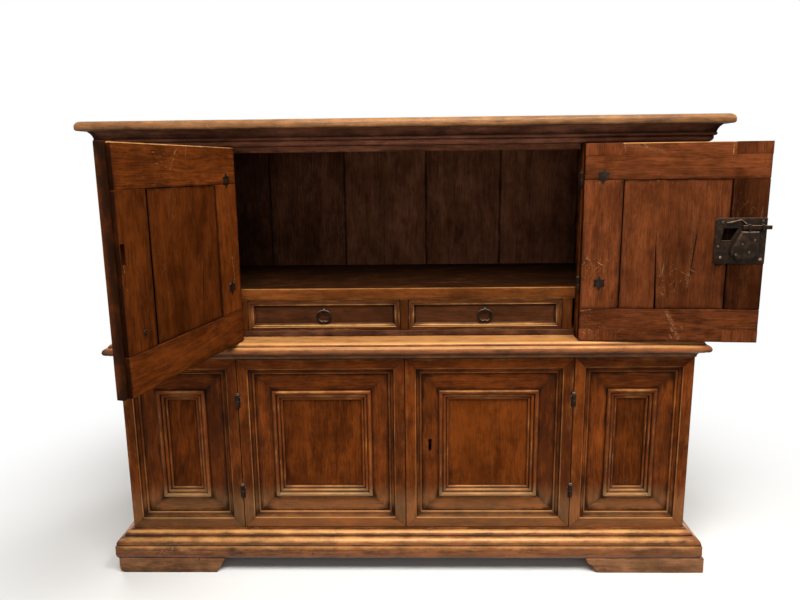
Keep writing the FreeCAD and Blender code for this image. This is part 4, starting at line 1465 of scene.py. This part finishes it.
class Shader:
    """A node tree with short ways to add to it; each input is a value or another node's output."""

    def __init__(self, tree):
        self.tree = tree

    def add(self, kind, inputs=None, **settings):
        """A shader node with its settings and inputs."""
        node = self.tree.nodes.new("ShaderNode" + kind)
        for name, value in settings.items():
            setattr(node, name, value)
        for name, value in (inputs or {}).items():
            if isinstance(value, bpy.types.NodeSocket):
                self.tree.links.new(value, node.inputs[name])
            else:
                node.inputs[name].default_value = value
        return node

    def give(self, sockets, **values):
        """Links values to an output node's sockets."""
        for name, value in values.items():
            self.tree.links.new(value, sockets[name])

    def maths(self, operation, first, second):
        return self.add("Math", {0: first, 1: second}, operation=operation).outputs[0]

    def times(self, first, second):
        return self.maths("MULTIPLY", first, second)

    def plus(self, first, second):
        return self.maths("ADD", first, second)

    def minus(self, first, second):
        return self.maths("SUBTRACT", first, second)

    def most(self, first, second):
        return self.maths("MAXIMUM", first, second)

    def vector(self, operation, first, second):
        return self.add("VectorMath", {0: first, 1: second}, operation=operation).outputs[0]

    def measured(self, operation, first, second=(0, 0, 0)):
        """A number taken from vectors."""
        return self.add("VectorMath", {0: first, 1: second}, operation=operation).outputs["Value"]

    def scaled(self, vector, scale):
        return self.add("VectorMath", {0: vector, "Scale": scale}, operation="SCALE").outputs[0]

    def parts(self, vector):
        return self.add("SeparateXYZ", {0: vector}).outputs

    def blend(self, factor, first, second, blend="MIX"):
        """A mix of two colours."""
        return self.add("Mix", {0: factor, 6: first, 7: second}, data_type="RGBA",
                        blend_type=blend).outputs[2]

    def ramp(self, value, start, end):
        """Zero below start and one above end, with a soft step between."""
        return self.add("MapRange", {"Value": value, "From Min": start, "From Max": end},
                        interpolation_type="SMOOTHSTEP").outputs[0]

    def clouds(self, vector, scale, detail=2.0, roughness=0.5):
        """Noise at a scale of its own along, across and through the grain."""
        return self.add("TexNoise", {"Vector": self.vector("MULTIPLY", vector, scale), "Scale": 1.0,
                                     "Detail": detail, "Roughness": roughness}).outputs

    def noise(self, *settings):
        return self.clouds(*settings)["Fac"]

    def swayed(self, vector, scale, reach):
        """A vector pushed about by noise, by up to a reach along each axis."""
        return self.vector("ADD", vector, self.vector("MULTIPLY", self.clouds(vector, scale)["Color"], reach))

    def spots(self, vector, scale, radius):
        """Small round spots, one in each cell."""
        cells = self.add("TexVoronoi", {"Vector": self.vector("MULTIPLY", vector, (scale, scale, scale)),
                                        "Scale": 1.0})
        return self.minus(1.0, self.ramp(cells.outputs["Distance"], radius * 0.6, radius))

    def stored(self, name):
        """A vector stored on the mesh."""
        return self.add("Attribute", attribute_name=name).outputs["Vector"]

    def place(self):
        return self.add("TexCoord").outputs["Object"]

    def group(self, tree, **inputs):
        return self.add("Group", inputs, node_tree=tree).outputs


def new_group(name, inputs, outputs):
    """An empty node group with named sockets; gives its shader, its inputs and its output sockets."""
    tree = bpy.data.node_groups.new(name, "ShaderNodeTree")
    for sockets, way in ((inputs, "INPUT"), (outputs, "OUTPUT")):
        for label, kind in sockets.items():
            tree.interface.new_socket(label, in_out=way, socket_type="NodeSocket" + kind)
    return Shader(tree), tree.nodes.new("NodeGroupInput").outputs, tree.nodes.new("NodeGroupOutput").inputs


def opaque(rgb):
    return (*rgb, 1.0)


def walnut_figure():
    """Growth bands, streaks, fibres and pores along the grain, with blotches and a tone for each board."""
    t, given, result = new_group(
        "walnut figure", {"Grain": "Vector", "Dark": "Color", "Light": "Color", "Contrast": "Float"},
        {"Color": "Color", "Height": "Float"})
    grain = given["Grain"]
    sway = t.vector("SUBTRACT", t.clouds(grain, (1.6, 5, 5))["Color"], (0.5, 0.5, 0.5))
    swayed = t.vector("ADD", grain, t.vector("MULTIPLY", sway, (0, 0.06, 0.06)))
    curl = t.vector("MULTIPLY", t.clouds(grain, (9, 15, 15))["Color"], (0, 0.035, 0.035))
    swayed = t.vector("ADD", swayed, curl)
    bands = t.noise(swayed, (1.3, 26, 26), 4.0, 0.6)
    streaks = t.noise(swayed, (4, 130, 130), 3.0, 0.6)
    fibres = t.noise(grain, (14, 420, 420))
    boards = t.noise(grain, (0.25, 0.9, 0.9), 0.0)
    blotches = t.noise(grain, (5, 9, 9), 5.0, 0.65)
    pores = t.ramp(t.noise(grain, (34, 800, 800), 1.0), 0.60, 0.72)
    mottle = t.noise(swayed, (22, 40, 40), 4.0, 0.65)
    spread = 0.0
    for value, weight in ((bands, 0.7), (streaks, 0.6), (fibres, 0.8), (boards, 0.8), (mottle, 0.7)):
        spread = t.plus(t.times(t.minus(value, 0.5), weight), spread)
    spread = t.times(spread, given["Contrast"])
    base = t.blend(t.ramp(spread, -0.5, 0.5), given["Dark"], given["Light"])
    cloudy = t.blend(t.ramp(blotches, 0.28, 0.72), (0.60, 0.56, 0.53, 1), (1.32, 1.32, 1.32, 1))
    base = t.blend(1.0, base, cloudy, "MULTIPLY")
    t.give(result, Color=t.blend(t.times(pores, 0.5), base, (0.005, 0.002, 0.001, 1)),
           Height=t.minus(t.times(fibres, 0.5), t.times(pores, 0.6)))
    return t.tree


def patina_with_painted_light():
    """Dirt and painted shade in hollows, darker mitres, and wear and painted highlight on crests and faces
    that look up, broken up by noise.
    """
    # Worn colours crests with wear and painted highlight, scaled by Rubbing; Grime darkens hollows with dirt
    # and painted shade, scaled by Dirt
    t, given, result = new_group(
        "rubbed patina", {"Color": "Color", "Grain": "Vector", "Wear": "Vector", "Worn": "Color",
                          "Grime": "Color", "Rubbing": "Float", "Dirt": "Float"},
        {"Color": "Color", "Grime": "Float"})
    soil, joint, tone = t.parts(given["Wear"])
    patches = t.noise(given["Grain"], (16, 34, 34), 4.0, 0.65)
    uneven = t.plus(soil, t.times(t.minus(patches, 0.5), 1.6))
    corner = t.minus(1.0, t.ramp(joint, 0.0, 0.035))
    uneven = t.minus(uneven, t.times(corner, 0.45))
    # Share of bared wood: wear, and painted highlight on crests and faces that look up
    worn_and_highlit = t.times(t.ramp(uneven, 0.3, 1.5), given["Rubbing"])
    # Share of the dark colour: dirt, and painted shade in hollows
    grime_and_shade = t.times(t.ramp(t.times(uneven, -1.0), 0.1, 1.1), given["Dirt"])
    mitre = t.minus(1.0, t.ramp(joint, 0.0003, 0.0013))
    grime_and_shade = t.most(grime_and_shade, t.times(mitre, 0.7))
    # The deepest level turns black whatever the dirt: painted shade in holes, cracks and gaps
    grime_and_shade = t.most(grime_and_shade, t.ramp(t.times(soil, -1.0), 1.4, 1.9))
    toned = t.scaled(given["Color"], t.plus(tone, 1.0))
    bared = t.blend(worn_and_highlit, toned, given["Worn"])
    t.give(result, Color=t.blend(grime_and_shade, bared, given["Grime"]), Grime=grime_and_shade)
    return t.tree


def old_scars():
    """Pale scratches and specks, dark stains and worm holes."""
    t, given, result = new_group(
        "old scars", {"Color": "Color", "Grain": "Vector", "Pale": "Color", "Scratches": "Float",
                      "Stains": "Float"},
        {"Color": "Color", "Pits": "Float"})
    grain = given["Grain"]
    places = t.noise(grain, (6, 9, 9), 3.0, 0.6)
    pale = 0.0
    for turn, along in ((0.1, 14), (0.7, 24), (-1.0, 30)):
        turned = t.add("VectorRotate", {"Vector": grain, "Axis": (0, 0, 1), "Angle": turn}).outputs[0]
        pale = t.most(pale, t.ramp(t.noise(turned, (along, 320, 320), 1.0), 0.68, 0.76))
    pale = t.most(pale, t.spots(grain, 110, 0.13))
    pale = t.times(t.times(pale, t.ramp(places, 0.54, 0.66)), given["Scratches"])
    stains = t.times(t.ramp(t.noise(grain, (9, 14, 14), 5.0, 0.65), 0.52, 0.72), given["Stains"])
    holes = t.times(t.spots(grain, 48, 0.055), t.ramp(places, 0.46, 0.4))
    holes = t.times(holes, t.ramp(given["Stains"], 0.0, 0.4))
    ragged = t.swayed(grain, (160, 160, 160), (0.016, 0.008, 0.008))
    nicks = t.times(t.spots(ragged, 22, 0.085), t.ramp(places, 0.44, 0.5))
    holes = t.most(holes, t.times(nicks, t.ramp(given["Stains"], 0.5, 0.9)))
    stained = t.blend(stains, given["Color"], (0.26, 0.22, 0.20, 1), "MULTIPLY")
    scratched = t.blend(pale, stained, given["Pale"])
    t.give(result, Color=t.blend(holes, scratched, (0.004, 0.002, 0.001, 1)), Pits=holes)
    return t.tree


def long_stroke():
    """Mask of one scratch between two places, ragged along its edge."""
    t, given, result = new_group(
        "long stroke", {"Place": "Vector", "Start": "Vector", "End": "Vector", "Width": "Float"},
        {"Mask": "Float"})
    place = given["Place"]
    reach = t.vector("SUBTRACT", place, given["Start"])
    run = t.vector("SUBTRACT", given["End"], given["Start"])
    along = t.maths("DIVIDE", t.measured("DOT_PRODUCT", reach, run), t.measured("DOT_PRODUCT", run, run))
    nearest = t.scaled(run, t.add("Clamp", {0: along}).outputs[0])
    away = t.maths("DIVIDE", t.measured("DISTANCE", reach, nearest), given["Width"])
    away = t.plus(away, t.times(t.noise(place, (160, 160, 160)), 1.4))
    flecks = t.ramp(t.noise(place, (330, 330, 330), 2.0, 0.7), 0.40, 0.58)
    t.give(result, Mask=t.times(t.minus(1.0, t.ramp(away, 0.7, 1.6)), flecks))
    return t.tree


def empty_material(name):
    """A material with no nodes but its output; gives its shader and its surface sockets."""
    material = bpy.data.materials.new(name)
    material.use_nodes = True
    tree = material.node_tree
    tree.nodes.clear()
    return Shader(tree), tree.nodes.new("ShaderNodeOutputMaterial").inputs


# Colour of what the waxed wood and the oiled iron reflect
wax_tint = (1.0, 0.74, 0.48)
oil_tint = (1.0, 0.76, 0.56)

# Heights where the painted reflection of the floor on the lower stage's wood starts and where it is strongest
reflection_starts = 0.28
reflection_strongest = 0.20

# Each finish: its wood, how strong figure, wear with painted highlight, dirt with painted shade, scratches
# and stains are, and how it shines;
# fading is how strong the painted reflection of the floor is near it
Finish = namedtuple("Finish", "wood contrast rubbing dirt scratches stains roughness gloss fading")
finishes = {
    "top": Finish("top", 1.4, 0.4, 0.8, 0.5, 0.7, 0.38, 0.22, 0.0),
    "cornice": Finish("cornice", 1.1, 0.15, 0.8, 0.15, 0.4, 0.45, 0.03, 0.0),
    "facing": Finish("panel", 1.2, 0.45, 0.9, 0.15, 0.4, 0.36, 0.06, 0.09),
    "ridge": Finish("panel", 1.0, 0.8, 0.9, 0.1, 0.2, 0.28, 0.12, 0.38),
    "board": Finish("panel", 1.3, 0.1, 0.85, 0.15, 0.5, 0.42, 0.03, 0.1),
    "door_inside": Finish("inside", 1.1, 0.7, 0.8, 0.4, 0.4, 0.5, 0.015, 0.0),
    "upper_left_door": Finish("left_inside", 0.95, 0.7, 0.85, 0.25, 0.45, 0.5, 0.015, 0.0),
    "upper_right_door": Finish("inside", 0.95, 0.7, 0.85, 0.5, 0.5, 0.5, 0.015, 0.0),
    "back": Finish("back", 1.2, 0.05, 0.9, 0.0, 0.5, 0.6, 0.01, 0.0),
    "shelf": Finish("shelf", 1.4, 0.5, 0.9, 0.2, 0.4, 0.4, 0.05, 0.0),
    "drawer": Finish("drawer", 1.1, 0.8, 0.9, 0.1, 0.3, 0.28, 0.08, 0.0),
    "base": Finish("base", 1.7, 0.95, 0.95, 0.7, 0.9, 0.26, 0.40, 0.0),
    "middle": Finish("base", 1.7, 0.6, 0.9, 0.3, 0.7, 0.26, 0.30, 0.0),
    "foot": Finish("foot", 1.3, 0.3, 0.9, 0.7, 0.8, 0.5, 0.04, 0.0),
    "side": Finish("side", 1.2, 0.2, 0.8, 0.3, 0.4, 0.42, 0.03, 0.0),
}


def wood(name, look, groups):
    """A walnut finish that follows the grain and wear stored on each piece."""
    t, output = empty_material("walnut_" + name)
    figure, patina, scarring, stroke = groups
    c = colours()
    dark, light = [opaque(getattr(c, f"{look.wood}_{shade}")) for shade in ("dark", "light")]
    grain, wear = t.stored("grain"), t.stored("wear")
    figured = t.group(figure, Grain=grain, Dark=dark, Light=light, Contrast=look.contrast)
    scarred = t.group(scarring, Color=figured["Color"], Grain=grain, Pale=opaque(c.scar),
                      Scratches=look.scratches, Stains=look.stains)
    marked = scarred["Color"]
    strokes = swung_strokes(name)
    if look.fading or strokes:
        place = t.place()
    # Near the floor the wood is blended towards a pale colour, a painted reflection of the floor
    if look.fading:
        low = t.ramp(t.parts(place)[2], reflection_starts, reflection_strongest)
        marked = t.blend(t.times(low, look.fading), marked, opaque(c.floor_reflection))
    for start, end, width, strength in strokes:
        mask = t.group(stroke, Place=place, Start=start, End=end, Width=width)["Mask"]
        marked = t.blend(t.times(mask, abs(strength)), marked, opaque(c.scar if strength > 0 else c.grime_and_shade))
    aged = t.group(patina, Color=marked, Grain=grain, Wear=wear, Worn=opaque(c.worn_and_highlit), Grime=opaque(c.grime_and_shade),
                   Rubbing=look.rubbing, Dirt=look.dirt)
    bump = t.add("Bump", {"Height": t.minus(figured["Height"], scarred["Pits"]), "Strength": 0.3,
                          "Distance": 0.0006})
    rough = t.plus(t.times(aged["Grime"], 0.25), look.roughness)
    shader = t.add("BsdfPrincipled", {"Base Color": aged["Color"], "Roughness": rough,
                                      "Specular IOR Level": look.gloss, "Specular Tint": opaque(wax_tint),
                                      "Normal": bump.outputs["Normal"]})
    t.give(output, Surface=shader.outputs[0])


def iron(name, dark, light, gloss):
    """Hammered iron with rubbed places and rust."""
    t, output = empty_material(name)
    place = t.place()
    blotches = t.noise(place, (60, 60, 60), 4.0, 0.6)
    fine = t.noise(place, (420, 420, 420))
    share = t.ramp(blotches, 0.42, 0.72)
    metal = t.blend(share, opaque(dark), opaque(light))
    # Mixed in by the stored level: polish, and painted highlight where the iron looks up
    metal = t.blend(t.times(t.parts(t.stored("wear"))[0], 0.8), metal, opaque(colours().iron_polish_and_highlight))
    bump = t.add("Bump", {"Height": t.plus(blotches, t.times(fine, 0.4)), "Strength": 0.4,
                          "Distance": 0.0012})
    rough = t.minus(0.55, t.times(share, 0.2))
    shader = t.add("BsdfPrincipled", {"Base Color": metal, "Roughness": rough, "Metallic": 0.1,
                                      "Specular IOR Level": gloss, "Specular Tint": opaque(oil_tint),
                                      "Normal": bump.outputs["Normal"]})
    t.give(output, Surface=shader.outputs[0])


# Scratches inside the upper doors: start and end as (x, z) on the closed door, half width, and how strong,
# dark where below zero
door_strokes = {
    "upper_left_door": (
        ((-0.138, 0.984), (-0.180, 0.955), 0.0022, 0.35), ((-0.180, 0.955), (-0.231, 0.922), 0.0022, 0.45),
        ((-0.233, 1.273), (-0.224, 1.263), 0.0034, 0.45), ((-0.224, 1.263), (-0.236, 1.259), 0.0026, 0.35),
        ((-0.221, 1.252), (-0.211, 1.241), 0.0026, 0.30), ((-0.213, 1.239), (-0.203, 1.227), 0.0024, 0.25),
        ((-0.275, 1.281), (-0.270, 1.262), 0.0028, 0.25), ((-0.051, 1.254), (-0.114, 1.2535), 0.0016, -0.8),
        ((-0.088, 1.213), (-0.092, 1.209), 0.0035, -0.8), ((-0.269, 1.164), (-0.295, 1.087), 0.0060, 0.14),
        ((-0.322, 1.040), (-0.316, 1.018), 0.0030, 0.35), ((-0.0135, 1.010), (-0.0125, 1.058), 0.0030, 0.45),
        ((-0.012, 0.975), (-0.020, 0.968), 0.0024, 0.45), ((-0.462, 0.985), (-0.472, 0.912), 0.0026, 0.35),
        ((-0.455, 0.977), (-0.468, 0.980), 0.0030, 0.35)),
    "upper_right_door": (
        ((0.1140, 1.284), (0.1150, 1.252), 0.0030, 0.75), ((0.354, 1.284), (0.340, 1.272), 0.0026, 0.5),
        ((0.300, 1.276), (0.288, 1.270), 0.0026, -0.7), ((0.402, 1.283), (0.398, 1.262), 0.0024, 0.55),
        ((0.104, 1.2125), (0.088, 1.2120), 0.0020, -0.9), ((0.034, 1.236), (0.030, 1.229), 0.0030, -0.9),
        ((0.503, 0.8135), (0.473, 0.8185), 0.0024, 0.65), ((0.263, 0.806), (0.256, 0.797), 0.0034, 0.45),
        ((0.251, 0.785), (0.256, 0.776), 0.0036, -0.7), ((0.249, 0.768), (0.243, 0.757), 0.0034, 0.45),
        ((0.250, 0.746), (0.245, 0.737), 0.0030, 0.40), ((0.220, 0.772), (0.216, 0.763), 0.0026, 0.35),
        ((0.0528, 0.935), (0.0528, 0.860), 0.0022, 0.30), ((0.300, 1.060), (0.290, 1.030), 0.0030, 0.35),
        ((0.235, 1.085), (0.222, 1.060), 0.0030, 0.30), ((0.335, 0.950), (0.330, 0.925), 0.0030, 0.35),
        ((0.505, 1.066), (0.478, 1.066), 0.0045, -0.45), ((0.112, 0.744), (0.112, 0.729), 0.0045, -0.9),
        ((0.500, 0.782), (0.478, 0.779), 0.0026, -0.8), ((0.203, 1.100), (0.209, 0.890), 0.0120, 0.12),
        ((0.262, 0.815), (0.226, 0.735), 0.0110, 0.18), ((0.400, 1.281), (0.300, 1.262), 0.0080, 0.16),
        ((0.300, 1.040), (0.268, 0.850), 0.0100, 0.10)),
}


def swung_strokes(name):
    """Scratches of a finish's closed door, turned to where the door stands."""
    if name not in door_strokes:
        return []
    stage, side = name.split("_")[:2]
    opening = Door(stage, side).opening
    return [(opening @ Vector((a[0], y_upper_inside, a[1])), opening @ Vector((b[0], y_upper_inside, b[1])),
             width, strength)
            for a, b, width, strength in door_strokes[name]]


def make_finishes():
    groups = (walnut_figure(), patina_with_painted_light(), old_scars(), long_stroke())
    for name, look in finishes.items():
        wood(name, look, groups)
    c = colours()
    iron("old_iron", c.iron_dark, c.iron_light, gloss=0.15)
    # A lighter copy of the iron for nails, rivets and the spring: polish, and painted highlight
    iron("polished_and_highlit_iron", c.iron_light, c.iron_polish_and_highlight, gloss=0.4)


class CREDENZA_OT_stage(bpy.types.Operator):
    """Set up the floor, the soft studio light and the camera"""
    bl_idname = "credenza.stage"
    bl_label = "Stage"

    def execute(self, context):
        stage = context.scene.credenza_stage
        floor()
        soft_lamp("overhead_lamp", (0.35, -1.5, 3.1), (0.0, -0.1, 0.6), (2.4, 1.2), stage.key_power)
        soft_lamp("front_lamp", (0.2, -3.6, 1.7), (0.0, 0.0, 0.8), (3.0, 2.2), stage.fill_power)
        for x in (-2.6, 2.6):
            lamp = soft_lamp("back_lamp", (x, 2.4, 1.9), (0.0, 0.2, 0.6), (2.2, 1.6), stage.back_power)
            lamp.visible_glossy = False
        room_light(stage.ambient)
        camera(stage)
        context.scene.view_settings.view_transform = "Standard"
        return {"FINISHED"}


def seen_directly(t):
    """One for rays from the camera, and for what shines or is looked through."""
    path = t.add("LightPath").outputs
    return t.most(t.most(path["Is Camera Ray"], path["Is Glossy Ray"]), path["Is Transmission Ray"])


def floor():
    """A pale floor that fades to white away from the credenza."""
    reach, fade_start, fade_end = 14, 1.05, 1.9
    plane = primitive(bpy.ops.mesh.primitive_circle_add, vertices=64, radius=reach, fill_type="NGON")
    plane.name = "pale_floor"
    t, output = empty_material("pale_floor")
    far = t.times(t.ramp(t.measured("LENGTH", t.place()), fade_start, fade_end), seen_directly(t))
    matt = t.add("BsdfDiffuse", {"Color": opaque(colours().floor)})
    glow = t.add("Emission", {"Color": (1, 1, 1, 1), "Strength": 1.0})
    mixed = t.add("MixShader", {0: far, 1: matt.outputs[0], 2: glow.outputs[0]})
    t.give(output, Surface=mixed.outputs[0])
    plane.data.materials.append(bpy.data.materials["pale_floor"])


def soft_lamp(name, place, target, size, power):
    lamp = bpy.data.lights.new(name, "AREA")
    lamp.shape = "RECTANGLE"
    lamp.size, lamp.size_y = size
    lamp.energy = power
    holder = bpy.data.objects.new(name, lamp)
    holder.location = place
    holder.rotation_euler = (Vector(target) - Vector(place)).to_track_quat("-Z", "Y").to_euler()
    bpy.context.scene.collection.objects.link(holder)
    return holder


def room_light(strength):
    world = bpy.data.worlds.new("studio")
    bpy.context.scene.world = world
    world.use_nodes = True
    world.node_tree.nodes.clear()
    t = Shader(world.node_tree)
    level = t.blend(seen_directly(t), (strength, strength, strength, 1), (1, 1, 1, 1))
    back = t.add("Background", {"Color": level, "Strength": 1.0})
    t.give(t.add("OutputWorld").inputs, Surface=back.outputs[0])


def camera(stage):
    data = bpy.data.cameras.new("camera")
    data.lens = stage.camera_lens
    data.sensor_width = 36
    data.shift_y = stage.camera_shift
    holder = bpy.data.objects.new("camera", data)
    aim = Matrix.Rotation(stage.camera_yaw, 4, "Z") @ Matrix.Rotation(pi / 2 - stage.camera_pitch, 4, "X")
    lean = Matrix.Rotation(-stage.camera_roll, 4, "Z")
    holder.matrix_world = Matrix.Translation(stage.camera_place) @ aim @ lean
    bpy.context.scene.collection.objects.link(holder)
    bpy.context.scene.camera = holder


class CREDENZA_PT_sidebar(bpy.types.Panel):
    """Lists the credenza's pieces and its stage"""
    bl_idname = "CREDENZA_PT_sidebar"
    bl_label = "Credenza"
    bl_space_type = "VIEW_3D"
    bl_region_type = "UI"
    bl_category = "Credenza"

    def draw(self, context):
        for operator in operators:
            self.layout.operator(operator.bl_idname)
        for group in ("credenza_sizes", "credenza_colours", "credenza_stage"):
            box = self.layout.box()
            values = getattr(context.scene, group)
            for name in values.__annotations__:
                box.prop(values, name)


operators = (CREDENZA_OT_finishes, CREDENZA_OT_top, CREDENZA_OT_cornice, CREDENZA_OT_mid_moulding,
             CREDENZA_OT_plinth, CREDENZA_OT_feet, CREDENZA_OT_case_boards, CREDENZA_OT_fixed_panels,
             CREDENZA_OT_doors, CREDENZA_OT_drawers, CREDENZA_OT_hinges, CREDENZA_OT_ring_pulls,
             CREDENZA_OT_locks, CREDENZA_OT_stage)
classes = (CredenzaSizes, CredenzaColours, CredenzaStage, *operators, CREDENZA_PT_sidebar)


def register():
    for kind in classes:
        bpy.utils.register_class(kind)
    bpy.types.Scene.credenza_sizes = PointerProperty(type=CredenzaSizes)
    bpy.types.Scene.credenza_colours = PointerProperty(type=CredenzaColours)
    bpy.types.Scene.credenza_stage = PointerProperty(type=CredenzaStage)


def unregister():
    del bpy.types.Scene.credenza_stage
    del bpy.types.Scene.credenza_colours
    del bpy.types.Scene.credenza_sizes
    for kind in reversed(classes):
        bpy.utils.unregister_class(kind)


def main():
    register()
    for operator in operators:
        name = operator.bl_idname.split(".")[1]
        getattr(bpy.ops.credenza, name)()


if __name__ == "__main__":
    main()
